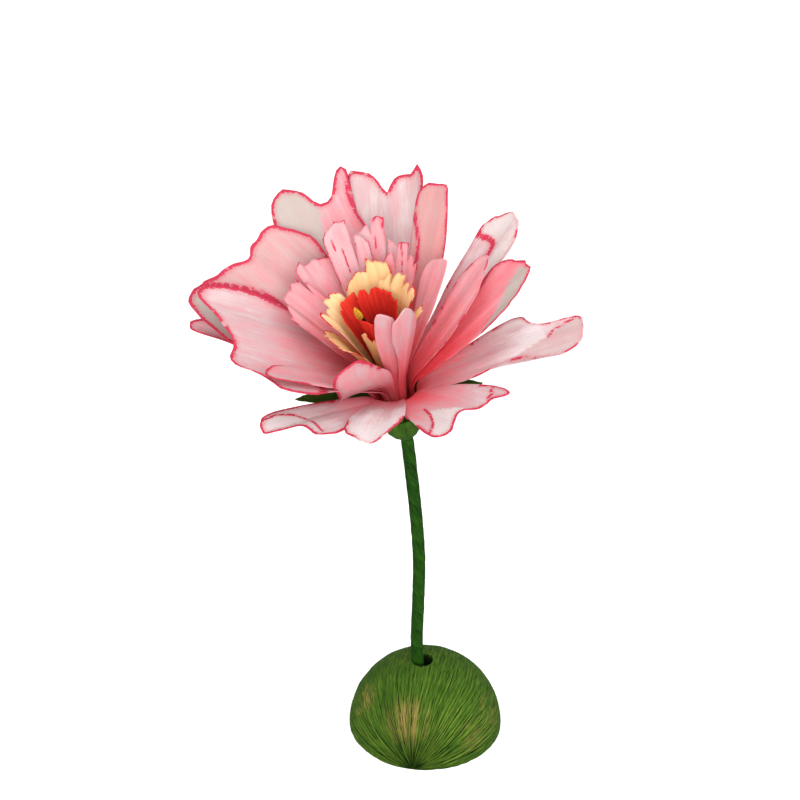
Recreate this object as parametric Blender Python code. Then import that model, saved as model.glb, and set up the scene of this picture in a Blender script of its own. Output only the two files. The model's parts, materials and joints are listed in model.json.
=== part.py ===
"""Crepe paper peony standing in a half ball foot.

Metres, +Z up. The origin is the centre of the flat underside of the foot and
the flower leans towards -Y. The foot is a solid half ball under a pleated
paper skin. A wire runs from its bore up to the middle of the flower. A paper
tape sleeve covers the wire up to the calyx. Every petal is one cut sheet of
crepe paper, bound by its foot round the wire, one layer outside the other.
"""
import math
from collections import namedtuple

import bmesh
import bpy
import numpy as np

MM = 0.001

# Paper and fits
PAPER = 0.35 * MM
CLEARANCE = 0.26 * MM

# Foot
FOOT_RADIUS = 40.0 * MM
SKIN = 0.6 * MM
PLEAT_HEIGHT = 0.5 * MM
PLEATS = 16
HOLE_RADIUS = 7.8 * MM
HOLE_X = -3.8 * MM
HOLE_WALL = 4.0 * MM
FUNNEL_DEPTH = 15.0 * MM
BORE_FLOOR = 8.0 * MM
FOOT_TURN = -10.0
DOME_ROWS = 10
DOME_COLUMNS = 14
BACK_PLEAT_SHARE = 0.35

# Stem: the wire, its tape, and the places that its middle passes through
WIRE_RADIUS = 1.6 * MM
STEM_RADIUS = 3.15 * MM
TAPE_PITCH = 9.0 * MM
TAPE_RIDGE = 0.2 * MM
STEM_STEP = 6.5 * MM
STEM_BENDS = (
    (-4.6 * MM, 0.0, 50.0 * MM),
    (-4.0 * MM, 0.0, 75.0 * MM),
    (-3.7 * MM, 0.0, 100.0 * MM),
    (-5.2 * MM, 0.0, 124.0 * MM),
    (-7.6 * MM, 0.6 * MM, 148.0 * MM),
)

# Flower: its seat, how far its axis leans, and what its middle holds
FLOWER_SEAT = (-13.5 * MM, -4.0 * MM, 187.0 * MM)
LEAN_LEFT = 10.0
LEAN_FORWARD = 22.0
WIRE_IN_FLOWER = 62.0 * MM
WIRE_SWING = 7.0 * MM
PISTIL_RADIUS = 1.9 * MM
PISTIL_HEIGHT = 7.0 * MM

# Calyx
CALYX_HEIGHT = 19.0 * MM
CALYX_RIM = 2.0 * MM
CALYX_WALL = 1.2 * MM
NECK_GAP = 0.3 * MM
CALYX_SIDES = 16

# Petals: how they are bound and how they leave the wire
LAYERS = 15
FIRST_LEAN = 4.0
BEND_LENGTH = 20.0 * MM
BEND_START = 3.5 * MM
TIP_BEND_FROM = 0.45
NOTCH_WIDTH = 0.40
CORNER_POWER = 2.6

# Petals: width at the foot and place of the greatest width, as shares of the whole,
# then where along it a sheet comes free of its neighbours, and the waves of its rim
FOOT_SHARE = 0.30
WIDEST_AT = 0.62
FREE_FROM = 0.15
FREE_OVER = 0.60
RIM_WAVES = 2

# Grids of the sheets: distances of the first rows from the foot, which lie close
# together where the sheet bends, the number of rows beyond them, and of columns
BEND_ROWS = (0.0, 6.0 * MM, 12.0 * MM, 18.0 * MM, 26.0 * MM)
PETAL_GRID = (BEND_ROWS, 3, 6)
STRIP_GRID = (BEND_ROWS, 2, 6)
SEPAL_GRID = (BEND_ROWS, 2, 4)

# One sheet of the flower. Layer 0 is the innermost. Azimuth is round the flower's
# axis, 0 to the right, 90 to the back, 270 to the viewer. Middle and tip are the
# leans from the axis in degrees. Spread is the half angle that the sheet may fill at
# its foot. Cup brings the side edges inwards, crease folds the midrib, and wave, with
# its phase, ruffles the rim. Round, notch and teeth shape the cut end. Lengths in mm.
Sheet = namedtuple(
    "Sheet",
    "name layer azimuth length half_width middle tip spread"
    " cup crease wave phase round notch teeth tooth paint",
)
DEFAULTS = dict(
    spread=50, cup=0, crease=0, wave=0, phase=0, round=0.22, notch=0,
    teeth=0, tooth=0, paint="petal",
)


def sheet(name, layer, azimuth, length, half_width, middle, tip, **more):
    """One row of the flower's table, with the values that it doesn't name."""
    values = dict(DEFAULTS)
    values.update(more)
    return Sheet(name, layer, azimuth, length, half_width, middle, tip, **values)


# Values that the sheets of one kind share
RED_CUT = dict(teeth=3, tooth=6, round=0.04, paint="red")
CREAM_CUT = dict(teeth=3, tooth=6, round=0.06, paint="cream")
TIP_CUT = dict(teeth=3, tooth=5, round=0.10)
SEPAL_CUT = dict(spread=32, round=0.60, paint="green")

RED_RING = [
    sheet("red_strip_right", 0, 15, 68, 8, 5, 14, spread=33, **RED_CUT),
    sheet("red_strip_back", 0, 87, 70, 8, 8, 18, spread=33, **RED_CUT),
    sheet("red_strip_left", 0, 159, 70, 8, 12, 20, spread=33, **RED_CUT),
    sheet("red_strip_front_left", 0, 231, 68, 8, 10, 18, spread=33, **RED_CUT),
    sheet("red_strip_front", 0, 303, 62, 8, 4, 8, spread=33, **RED_CUT),
]
CREAM_RING = [
    sheet("cream_strip_right", 1, 48, 76, 11, 12, 19, spread=56, **CREAM_CUT),
    sheet("cream_strip_left", 1, 168, 77, 11, 17, 23, spread=56, **CREAM_CUT),
    sheet("cream_strip_front", 1, 305, 64, 8, 8, 10, spread=39, **CREAM_CUT),
    sheet("cream_strip_back", 2, 100, 80, 12, 21, 28, spread=55, **CREAM_CUT),
    sheet("cream_strip_front_left", 2, 226, 70, 11, 21, 25, spread=36, **CREAM_CUT),
    sheet("cream_strip_front_right", 2, 352, 68, 9, 14, 21, spread=36, **CREAM_CUT),
]

PETALS = [
    # Inner ring: cut tips at the back and the left, plain ones at the right and the front
    sheet("inner_petal_back_right", 3, 70, 87, 11, 29, 38, spread=18, **TIP_CUT),
    sheet("inner_petal_back_left", 3, 107, 93, 12, 35, 43, spread=18, **TIP_CUT),
    sheet("inner_petal_left", 3, 160, 84, 13, 35, 42, spread=28, **TIP_CUT),
    sheet("inner_petal_front", 3, 291, 84, 9, 15, 13, spread=24, round=0.2),
    sheet("inner_petal_back", 4, 88, 91, 12, 37, 44, spread=20, **TIP_CUT),
    sheet("inner_petal_left_high", 4, 132, 91, 12, 39, 46, spread=22, **TIP_CUT),
    sheet("inner_petal_front_left", 4, 240, 60, 19, 31, 29, spread=46, round=0.2),
    sheet("inner_petal_front_right", 4, 317, 81, 10, 17, 15, spread=30, round=0.15),
    sheet("inner_petal_right", 4, 40, 78, 9, 30, 32, spread=22, round=0.35),
    sheet("side_petal_small", 5, 215, 90, 11, 41, 44, spread=40, round=0.2),
    # Cup
    sheet("cup_petal_left", 6, 199, 105, 36, 44, 47, spread=54, wave=1.5, phase=0),
    sheet("cup_petal_right_rolled", 6, 57, 108, 10, 38, 39, spread=24, round=0.12),
    sheet("cup_petal_left_high", 7, 155, 108, 34, 47, 51, spread=52, round=0.12, wave=1, phase=90),
    sheet("cup_petal_right_inner", 7, 21, 90, 10, 42, 44, spread=30),
    sheet("cup_petal_back_left", 8, 113, 117, 20, 49, 53, spread=46, notch=17, round=0.1, wave=1, phase=90),
    sheet("cup_petal_right_low", 8, 13, 96, 13, 50, 53, spread=30, cup=3),
    sheet("cup_petal_back", 9, 89, 114, 22, 51, 53, spread=40, notch=9, wave=1.5, phase=90),
    sheet("cup_petal_left_outer", 10, 168, 110, 19, 55, 58, spread=48, wave=1.5, phase=45),
    sheet("cup_petal_right_long", 10, 38, 104, 12, 54, 57, spread=28, cup=2),
    # Outer ring
    sheet("outer_petal_front", 10, 264, 82, 15, 53, 64, spread=44, wave=2, phase=90),
    sheet("outer_petal_front_right", 11, 308, 96, 18, 57, 64, spread=40, wave=2, phase=0),
    sheet("outer_petal_front_left", 11, 226, 89, 13, 56, 62, spread=40, wave=1.5, phase=180),
    sheet("outer_petal_back_right", 11, 85, 84, 18, 59, 66, spread=46, wave=2, phase=0),
    sheet("outer_petal_right", 12, 353, 102, 16, 62, 69, spread=44, wave=1.5, phase=0),
    sheet("outer_petal_left_folded", 12, 173, 103, 8, 60, 62, spread=44, crease=3),
    sheet("outer_petal_back_left", 13, 125, 84, 18, 62, 68, spread=50, wave=2, phase=90),
]
SEPALS = [
    sheet("sepal_left", 14, 200, 50, 7, 64, 66, **SEPAL_CUT),
    sheet("sepal_front", 14, 266, 36, 7, 62, 66, **SEPAL_CUT),
    sheet("sepal_right", 14, 331, 48, 7, 66, 68, **SEPAL_CUT),
    sheet("sepal_back_right", 14, 50, 50, 7, 68, 72, **SEPAL_CUT),
    sheet("sepal_back_left", 14, 130, 50, 7, 70, 74, **SEPAL_CUT),
]

COLOURS = {
    "petal": ((0.86, 0.42, 0.48), 0.85),
    "red": ((0.75, 0.03, 0.02), 0.80),
    "cream": ((0.88, 0.62, 0.32), 0.85),
    "green": ((0.06, 0.17, 0.03), 0.85),
    "foot_paper": ((0.13, 0.26, 0.06), 0.90),
    "stem_tape": ((0.02, 0.14, 0.02), 0.70),
    "wire": ((0.35, 0.35, 0.34), 0.45),
    "plaster": ((0.78, 0.76, 0.70), 0.90),
    "pistil": ((0.45, 0.40, 0.05), 0.80),
}


def clear_scene():
    """Take every object out of the scene."""
    for thing in list(bpy.data.objects):
        bpy.data.objects.remove(thing, do_unlink=True)


def material(name, key):
    """A Principled material of one colour and roughness."""
    colour, rough = COLOURS[key]
    made = bpy.data.materials.new(name)
    made.use_nodes = True
    shader = made.node_tree.nodes["Principled BSDF"]
    shader.inputs["Base Color"].default_value = (*colour, 1.0)
    shader.inputs["Roughness"].default_value = rough
    shader.inputs["Metallic"].default_value = 1.0 if key == "wire" else 0.0
    return made


def add_object(name, mesh, key):
    """Put a mesh in the scene as a named, smooth, coloured object."""
    mesh.materials.append(material(f"{name}_finish", key))
    mesh.shade_smooth()
    mesh.set_sharp_from_angle(angle=math.radians(50))
    made = bpy.data.objects.new(name, mesh)
    bpy.context.collection.objects.link(made)
    return made


def mesh_from(name, points, faces):
    """A mesh from points and faces, with its faces turned outwards."""
    mesh = bpy.data.meshes.new(name)
    mesh.from_pydata([tuple(p) for p in points], [], faces)
    work = bmesh.new()
    work.from_mesh(mesh)
    bmesh.ops.recalc_face_normals(work, faces=work.faces)
    work.to_mesh(mesh)
    work.free()
    return mesh


def unit(vector):
    """The vector at length one."""
    vector = np.asarray(vector, float)
    return vector / np.linalg.norm(vector, axis=-1, keepdims=True)


def smooth(x):
    """0 to 1 with level ends."""
    x = np.clip(x, 0.0, 1.0)
    return x * x * (3.0 - 2.0 * x)


SEAT = np.array(FLOWER_SEAT)
AXIS = unit([-math.tan(math.radians(LEAN_LEFT)), -math.tan(math.radians(LEAN_FORWARD)), 1.0])
SIDE = unit(np.array([1.0, 0.0, 0.0]) - AXIS[0] * AXIS)
BACK = np.cross(AXIS, SIDE)
PITCH = PAPER + CLEARANCE


def layer_radius(layer):
    """Radius of a layer's middle surface at the foot of its sheets."""
    return WIRE_RADIUS + CLEARANCE + 0.5 * PAPER + layer * PITCH


def triangle_wave(x):
    """1 at whole numbers, -1 half way between them."""
    return 1.0 - 4.0 * np.abs(x - np.round(x))


def sheet_reach(row, v):
    """Length of a sheet at v, from -1 to 1 across it.

    It is the row's length less its rounded corners, its notch and its teeth.
    """
    reach = row.length * MM * (1.0 - row.round * np.abs(v) ** CORNER_POWER)
    reach = reach - row.notch * MM * np.exp(-((v / NOTCH_WIDTH) ** 2))
    return reach + row.tooth * MM * (triangle_wave(0.5 * row.teeth * (v + 1.0)) - 1.0) * 0.5


def sheet_surface(row, run, v):
    """Middle surface of a sheet at a distance run from its foot, and v across.

    The lean grows in two smooth steps, and its sine and cosine are summed
    along the length to a radius and a height. Across, the sheet follows a
    circle round the axis, and cup, crease and waves move it along its normal.
    """
    length = row.length * MM

    # Lean, radius and height along the midrib
    steps = np.linspace(0.0, 1.05 * length, 211)
    start = BEND_START + (LAYERS - row.layer) * PITCH
    lean = FIRST_LEAN + (row.middle - FIRST_LEAN) * smooth((steps - start) / BEND_LENGTH)
    tip_part = (steps / length - TIP_BEND_FROM) / (1.0 - TIP_BEND_FROM)
    lean = np.radians(lean + (row.tip - row.middle) * smooth(tip_part))
    gap = steps[1] - steps[0]
    radius = layer_radius(row.layer) + np.cumsum(np.sin(lean)) * gap
    height = np.cumsum(np.cos(lean)) * gap
    lean_at = np.interp(run, steps, lean)
    radius_at = np.interp(run, steps, radius)
    height_at = np.interp(run, steps, height)

    # Half width: the sheet's own, or what its spread allows near the foot
    part = run / length
    swell = np.sin(0.5 * np.pi * np.clip(part / WIDEST_AT, 0, 1))
    own = row.half_width * MM * (FOOT_SHARE + (1.0 - FOOT_SHARE) * swell)
    allowed = math.radians(row.spread) * radius_at
    width = (own ** -4.0 + allowed ** -4.0) ** -0.25
    turn = math.radians(row.azimuth) + v * width / radius_at

    outward = np.cos(turn)[..., None] * SIDE + np.sin(turn)[..., None] * BACK
    normal = np.cos(lean_at)[..., None] * outward - np.sin(lean_at)[..., None] * AXIS
    free = smooth((part - FREE_FROM) / FREE_OVER)
    push = -row.cup * MM * v ** 2 * free
    push = push + row.crease * MM * (0.5 - np.abs(v)) * free
    ripple = np.sin(np.pi * RIM_WAVES * v + math.radians(row.phase))
    push = push + row.wave * MM * free ** 2 * ripple
    return SEAT + height_at[..., None] * AXIS + radius_at[..., None] * outward + push[..., None] * normal


def grid_normals(points):
    """Unit normals of a grid of points, from its differences."""
    along = np.gradient(points, axis=0)
    across = np.gradient(points, axis=1)
    return unit(np.cross(across, along))


def sheet_mesh(name, middle, thickness):
    """A closed thin solid: the grid moved half the thickness each way."""
    rows, columns = middle.shape[:2]
    offset = 0.5 * thickness * grid_normals(middle)
    points = np.concatenate([(middle + offset).reshape(-1, 3), (middle - offset).reshape(-1, 3)])
    size = rows * columns
    faces = []
    for i in range(rows - 1):
        for j in range(columns - 1):
            a = i * columns + j
            face = (a, a + 1, a + columns + 1, a + columns)
            faces.append(face)
            faces.append(tuple(size + k for k in reversed(face)))
    rim = [j for j in range(columns)]
    rim += [i * columns + columns - 1 for i in range(1, rows)]
    rim += [(rows - 1) * columns + j for j in range(columns - 2, -1, -1)]
    rim += [i * columns for i in range(rows - 2, 0, -1)]
    for k, a in enumerate(rim):
        b = rim[(k + 1) % len(rim)]
        faces.append((b, a, size + a, size + b))
    return mesh_from(name, points, faces)


def make_sheet(row, grid):
    """One sheet of the flower as an object."""
    close_rows, beyond, across = grid
    v = np.linspace(-1.0, 1.0, (2 * row.teeth or across) + 1)
    reach = sheet_reach(row, v)
    last = close_rows[-1]
    runs = [np.full_like(v, distance) for distance in close_rows]
    runs += [last + (reach - last) * (i + 1) / beyond for i in range(beyond)]
    run = np.array(runs)
    middle = sheet_surface(row, run, np.broadcast_to(v, run.shape))
    return add_object(row.name, sheet_mesh(row.name, middle, PAPER), row.paint)


def tube_points(path, radii, sides, last=None):
    """Rings of points round a path, the last of them square to a given direction."""
    tangent = unit(np.gradient(path, axis=0))
    if last is not None:
        tangent[-1] = last
    first = unit(np.cross(tangent, np.array([0.0, 1.0, 0.0])))
    second = np.cross(tangent, first)
    angle = np.arange(sides) * 2 * np.pi / sides
    spread = np.cos(angle)[None, :, None] * first[:, None] + np.sin(angle)[None, :, None] * second[:, None]
    return path[:, None] + radii[..., None] * spread


def ring_faces(rings, sides, start=0):
    """Faces between successive rings of points."""
    faces = []
    for i in range(rings - 1):
        for j in range(sides):
            a = start + i * sides + j
            b = start + i * sides + (j + 1) % sides
            faces.append((a, b, b + sides, a + sides))
    return faces


def stem_path(low, high):
    """Points on the stem's middle line between two heights, in even steps.

    Each coordinate is a cubic through the stem's bends, which ends along the
    flower's axis. Steps are counted from the origin, so that what shares the
    line also shares its points.
    """
    neck = SEAT - AXIS * CALYX_HEIGHT
    foot = (HOLE_X, 0.0)
    knots = np.array([(*foot, BORE_FLOOR), (*foot, 0.8 * FOOT_RADIUS), *STEM_BENDS, neck, SEAT])
    slope = np.gradient(knots[:, :2], knots[:, 2], axis=0)
    slope[-2:] = AXIS[:2] / AXIS[2]
    between = np.arange(math.ceil(low / STEM_STEP), math.ceil(high / STEM_STEP)) * STEM_STEP
    clear = np.minimum(between - low, high - between) > 0.2 * STEM_STEP
    z = np.concatenate([[low], between[clear], [high]])
    index = np.clip(np.searchsorted(knots[:, 2], z) - 1, 0, len(knots) - 2)
    span = (knots[index + 1, 2] - knots[index, 2])[:, None]
    t = (z - knots[index, 2])[:, None] / span
    xy = (
        (2 * t ** 3 - 3 * t ** 2 + 1) * knots[index, :2]
        + (t ** 3 - 2 * t ** 2 + t) * span * slope[index]
        + (3 * t ** 2 - 2 * t ** 3) * knots[index + 1, :2]
        + (t ** 3 - t ** 2) * span * slope[index + 1]
    )
    return np.column_stack([xy, z])


def flower_middle(height):
    """Points on the wire in the flower, which swings left as it rises."""
    height = np.asarray(height)[..., None]
    return SEAT + height * AXIS - WIRE_SWING * (height / WIRE_IN_FLOWER) ** 2 * SIDE


def make_wire():
    """The wire, from its bore in the foot to the middle of the flower."""
    lower = stem_path(BORE_FLOOR + CLEARANCE, SEAT[2])
    path = np.vstack([lower, flower_middle(np.linspace(0.12, 1.0, 6) * WIRE_IN_FLOWER)])
    sides = 6
    points = tube_points(path, np.full((len(path), 1), WIRE_RADIUS), sides)
    faces = ring_faces(len(path), sides)
    faces.append(tuple(range(sides)))
    faces.append(tuple((len(path) - 1) * sides + j for j in range(sides)))
    return add_object("stem_wire", mesh_from("stem_wire", points.reshape(-1, 3), faces), "wire")


def make_tape():
    """The tape sleeve: a tube whose outside rises along each turn of the tape."""
    sides = 8
    low = FOOT_RADIUS - FUNNEL_DEPTH + CLEARANCE
    high = (SEAT - AXIS * (CALYX_HEIGHT + NECK_GAP))[2]
    path = stem_path(low, high)
    turn = np.arange(sides) / sides
    ramp = np.mod(path[:, 2:] / TAPE_PITCH + turn[None, :], 1.0)
    outer = tube_points(path, STEM_RADIUS - TAPE_RIDGE * ramp, sides, AXIS)
    inner = tube_points(path, np.full((len(path), 1), WIRE_RADIUS + CLEARANCE), sides, AXIS)
    points = np.vstack([outer.reshape(-1, 3), inner.reshape(-1, 3)])
    start = len(path) * sides
    top = start - sides
    faces = ring_faces(len(path), sides) + ring_faces(len(path), sides, start)
    for a, b in ((0, start), (top, start + top)):
        for j in range(sides):
            k = (j + 1) % sides
            faces.append((a + j, a + k, b + k, b + j))
    return add_object("stem_tape", mesh_from("stem_tape", points, faces), "stem_tape")


def turned(name, profile, sides, key):
    """A closed ring shape turned round the flower's axis from (radius, height)."""
    profile = np.array(profile)
    angle = np.arange(sides) * 2 * np.pi / sides
    outward = np.cos(angle)[:, None] * SIDE + np.sin(angle)[:, None] * BACK
    points = SEAT + profile[:, 1][:, None, None] * AXIS + profile[:, 0][:, None, None] * outward[None]
    count = len(profile)
    faces = ring_faces(count, sides)
    for j in range(sides):
        k = (j + 1) % sides
        faces.append(((count - 1) * sides + j, (count - 1) * sides + k, k, j))
    return add_object(name, mesh_from(name, points.reshape(-1, 3), faces), key)


def make_calyx():
    """The cup that holds the feet of the sheets, open for the wire."""
    bore = WIRE_RADIUS + CLEARANCE
    inside = (layer_radius(LAYERS - 1) + 0.5 * PAPER + CLEARANCE) / math.cos(math.pi / CALYX_SIDES)
    outside = inside + CALYX_WALL
    profile = [
        (bore, -CALYX_HEIGHT),
        (STEM_RADIUS, -CALYX_HEIGHT),
        (STEM_RADIUS + 0.2 * (outside - STEM_RADIUS), -0.85 * CALYX_HEIGHT),
        (STEM_RADIUS + 0.6 * (outside - STEM_RADIUS), -0.5 * CALYX_HEIGHT),
        (outside, -0.1 * CALYX_HEIGHT),
        (outside, CALYX_RIM),
        (inside, CALYX_RIM),
        (inside, -CLEARANCE),
        (bore, -CLEARANCE),
    ]
    return turned("calyx_cup", profile, CALYX_SIDES, "green")


def make_pistil():
    """The olive tip on the end of the wire."""
    sides = 8
    heights = np.array([0.0, 0.25, 0.6, 0.9, 1.0]) * PISTIL_HEIGHT + WIRE_IN_FLOWER + CLEARANCE
    radii = np.array([0.75, 1.0, 0.85, 0.5, 0.2]) * PISTIL_RADIUS
    points = tube_points(flower_middle(heights), radii[:, None], sides)
    faces = ring_faces(5, sides)
    faces.append(tuple(range(sides)))
    faces.append(tuple(4 * sides + j for j in range(sides)))
    return add_object("pistil", mesh_from("pistil", points.reshape(-1, 3), faces), "pistil")


def dome(radius, along, around, ridge):
    """Half ball of points with its poles level at the front and the back.

    Rows run from pole to pole, columns from the right rim over the top to the
    left rim. Every second column is raised by the ridge, most at the front.
    """
    polar = np.linspace(0, np.pi, along + 1)[1:-1, None]
    over = np.linspace(0, np.pi, around + 1)[None, :]
    lift = ridge * (np.arange(around + 1) % 2)[None, :] * (
        BACK_PLEAT_SHARE + (1.0 - BACK_PLEAT_SHARE) * np.cos(0.5 * polar) ** 2
    )
    lift = lift * (np.sin(over) > 0.01)
    reach = radius - ridge + lift
    x = reach * np.sin(polar) * np.cos(over)
    z = reach * np.sin(polar) * np.sin(over)
    y = -reach * np.cos(polar) * np.ones_like(over)
    grid = np.stack([x, y, z], -1).reshape(-1, 3)
    poles = np.array([[0, -radius + ridge, 0], [0, radius - ridge, 0]])
    return np.vstack([grid, poles])


def dome_faces(along, around, start, flip):
    """Faces of the half ball's grid, with triangles at both poles."""
    wide = around + 1
    rows = along - 1
    front = start + rows * wide
    faces = []
    for j in range(around):
        faces.append((front, start + j, start + j + 1))
        last = start + (rows - 1) * wide
        faces.append((front + 1, last + j + 1, last + j))
        for i in range(rows - 1):
            a = start + i * wide + j
            faces.append((a, a + wide, a + wide + 1, a + 1))
    return [tuple(reversed(face)) for face in faces] if flip else faces


def rim_loop(along, around, start):
    """The half ball's flat rim, once round from the front pole."""
    wide = around + 1
    rows = along - 1
    front = start + rows * wide
    right = [start + i * wide for i in range(rows)]
    left = [start + i * wide + around for i in range(rows)]
    return [front] + right + [front + 1] + left[::-1]


def cutter(name, profile, sides=24):
    """A turned tool round the hole's upright axis, kept out of the model."""
    profile = np.array(profile)
    angle = np.arange(sides) * 2 * np.pi / sides
    circle = np.stack([np.cos(angle), np.sin(angle)], -1)
    points = []
    for radius, height in profile:
        ring_xy = circle * radius + (HOLE_X, 0.0)
        points.extend((x, y, height) for x, y in ring_xy)
    faces = ring_faces(len(profile), sides)
    faces.append(tuple(range(sides)))
    faces.append(tuple((len(profile) - 1) * sides + j for j in range(sides)))
    tool = bpy.data.objects.new(name, mesh_from(name, points, faces))
    bpy.context.collection.objects.link(tool)
    tool.hide_render = True
    tool.display_type = "WIRE"
    return tool


def cut(thing, tool):
    """Take the tool's shape out of the object."""
    modifier = thing.modifiers.new("hole", "BOOLEAN")
    modifier.operation = "DIFFERENCE"
    modifier.solver = "EXACT"
    modifier.object = tool


def make_foot():
    """The solid half ball with its funnel and bore, and the pleated skin."""
    along, around, inside = DOME_ROWS, 2 * PLEATS, DOME_COLUMNS
    outer = dome(FOOT_RADIUS, along, around, PLEAT_HEIGHT)
    inner_radius = FOOT_RADIUS - PLEAT_HEIGHT - SKIN
    inner = dome(inner_radius, along, inside, 0.0)
    start = len(outer)
    faces = dome_faces(along, around, 0, False) + dome_faces(along, inside, start, True)
    out_rim = rim_loop(along, around, 0)
    in_rim = rim_loop(along, inside, start)
    for k, a in enumerate(out_rim):
        n = (k + 1) % len(out_rim)
        faces.append((a, out_rim[n], in_rim[n], in_rim[k]))
    skin = add_object("foot_skin", mesh_from("foot_skin", np.vstack([outer, inner]), faces), "foot_paper")

    ball_points = dome(inner_radius - CLEARANCE, along, inside, 0.0)
    faces = dome_faces(along, inside, 0, False)
    faces.append(tuple(rim_loop(along, inside, 0)))
    ball = add_object("foot_ball", mesh_from("foot_ball", ball_points, faces), "plaster")

    above = FOOT_RADIUS + 5 * MM
    cut(skin, cutter("skin_hole_tool", [(HOLE_RADIUS, FOOT_RADIUS * 0.6), (HOLE_RADIUS, above)]))
    funnel_floor = FOOT_RADIUS - FUNNEL_DEPTH
    bore = WIRE_RADIUS + CLEARANCE
    well = STEM_RADIUS + CLEARANCE
    profile = [
        (bore, BORE_FLOOR),
        (bore, funnel_floor),
        (well, funnel_floor),
        (HOLE_RADIUS, FOOT_RADIUS - HOLE_WALL),
        (HOLE_RADIUS, above),
    ]
    cut(ball, cutter("ball_bore_tool", profile, 16))
    for thing in (skin, ball):
        thing.rotation_euler.z = math.radians(FOOT_TURN)


def main():
    """Build the foot, the stem and the flower from its middle outwards."""
    clear_scene()
    make_foot()
    make_wire()
    make_tape()
    make_calyx()
    make_pistil()
    for row in RED_RING + CREAM_RING:
        make_sheet(row, STRIP_GRID)
    for row in PETALS:
        make_sheet(row, PETAL_GRID)
    for row in SEPALS:
        make_sheet(row, SEPAL_GRID)


main()
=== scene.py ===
import json
import math

import bpy
import numpy as np
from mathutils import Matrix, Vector

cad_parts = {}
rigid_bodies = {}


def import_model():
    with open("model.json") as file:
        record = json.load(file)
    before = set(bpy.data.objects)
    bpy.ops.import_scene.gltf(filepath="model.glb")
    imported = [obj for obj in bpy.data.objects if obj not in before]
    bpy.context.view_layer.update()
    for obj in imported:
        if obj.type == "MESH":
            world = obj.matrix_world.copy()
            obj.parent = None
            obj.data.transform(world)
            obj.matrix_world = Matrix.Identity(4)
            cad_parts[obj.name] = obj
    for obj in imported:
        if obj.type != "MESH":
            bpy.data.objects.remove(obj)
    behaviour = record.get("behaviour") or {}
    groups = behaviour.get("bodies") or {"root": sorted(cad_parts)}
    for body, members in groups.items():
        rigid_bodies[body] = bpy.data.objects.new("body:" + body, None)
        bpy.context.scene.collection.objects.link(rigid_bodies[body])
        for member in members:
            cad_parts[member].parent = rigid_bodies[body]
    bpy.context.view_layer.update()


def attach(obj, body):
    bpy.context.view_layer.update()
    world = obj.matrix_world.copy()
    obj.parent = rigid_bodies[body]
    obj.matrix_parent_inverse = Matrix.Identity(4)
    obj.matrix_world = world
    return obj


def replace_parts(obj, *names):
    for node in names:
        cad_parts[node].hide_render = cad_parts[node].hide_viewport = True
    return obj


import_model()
print("frame loaded")

mm = 0.001

# The flower's own frame and how its sheets leave the wire, as the solids have them. Lengths are
# in mm and angles in degrees.
flower = {
    "seat": (-13.5, -4.0, 187.0),
    "leanLeft": 10.0,
    "leanForward": 22.0,
    "wireRadius": 1.6,
    "wireInFlower": 62.0,
    "wireSwing": 7.0,
    "paper": 0.35,
    "clearance": 0.26,
    "layers": 15,
    "firstLean": 4.0,
    "bendStart": 3.5,
    "bendLength": 20.0,
    "tipBendFrom": 0.45,
    "footShare": 0.30,
    "widestAt": 0.62,
    "freeFrom": 0.15,
    "freeOver": 0.60,
    "latticeStep": 0.9,
}


def unit(a):
    a = np.asarray(a, float)
    return a / np.maximum(np.linalg.norm(a, axis=-1, keepdims=True), 1e-12)


def ease(x):
    # 0 to 1 with level ends
    x = np.clip(x, 0.0, 1.0)
    return x * x * (3.0 - 2.0 * x)


def srgb(r, g, b):
    # a colour picked on screen, 0 to 255, as the linear colour that shaders take
    c = np.array([r, g, b]) / 255.0
    lin = np.where(c <= 0.04045, c / 12.92, ((c + 0.055) / 1.055) ** 2.4)
    return (float(lin[0]), float(lin[1]), float(lin[2]), 1.0)


def cubic(t, start, end, startSlope, endSlope):
    # the cubic over t = 0 to 1 with these values and slopes at its ends
    return (
        (2 * t**3 - 3 * t**2 + 1) * start
        + (t**3 - 2 * t**2 + t) * startSlope
        + (3 * t**2 - 2 * t**3) * end
        + (t**3 - t**2) * endSlope
    )


def through(values, x):
    # a smooth line through values spread evenly over -1 to 1: a cubic between each two
    values = np.asarray(values, float)
    n = len(values) - 1
    slope = np.gradient(values)
    t = np.clip((np.asarray(x) + 1.0) * 0.5 * n, 0.0, n)
    k = np.minimum(t.astype(int), n - 1)
    return cubic(t - k, values[k], values[k + 1], slope[k], slope[k + 1])


def wander(x, seed, low, high):
    # seeded sum of sines from low to high waves over x = -1 to 1, about -1 to 1 high
    rng = np.random.default_rng(seed)
    total = np.zeros_like(np.asarray(x, float))
    for k in range(low, high + 1):
        total = total + rng.normal() * np.sin(math.pi * k * x + rng.uniform(0, 2 * math.pi))
    return total / math.sqrt(high - low + 1)


seat = np.array(flower["seat"]) * mm
axis = unit([
    -math.tan(math.radians(flower["leanLeft"])),
    -math.tan(math.radians(flower["leanForward"])),
    1.0,
])
side = unit(np.array([1.0, 0.0, 0.0]) - axis[0] * axis)
back = np.cross(axis, side)
pitch = (flower["paper"] + flower["clearance"]) * mm

print("helpers ready")


# meshes from grids

def gridFaces(rows, columns, flip=False):
    i, j = np.meshgrid(np.arange(rows - 1), np.arange(columns - 1), indexing="ij")
    a = (i * columns + j).ravel()
    quads = np.stack([a, a + 1, a + columns + 1, a + columns], -1)
    return quads[:, ::-1] if flip else quads


def ringFaces(rows, columns):
    i, j = np.meshgrid(np.arange(rows - 1), np.arange(columns), indexing="ij")
    a = (i * columns + j).ravel()
    b = (i * columns + (j + 1) % columns).ravel()
    return np.stack([a, b, b + columns, a + columns], -1)


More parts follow.
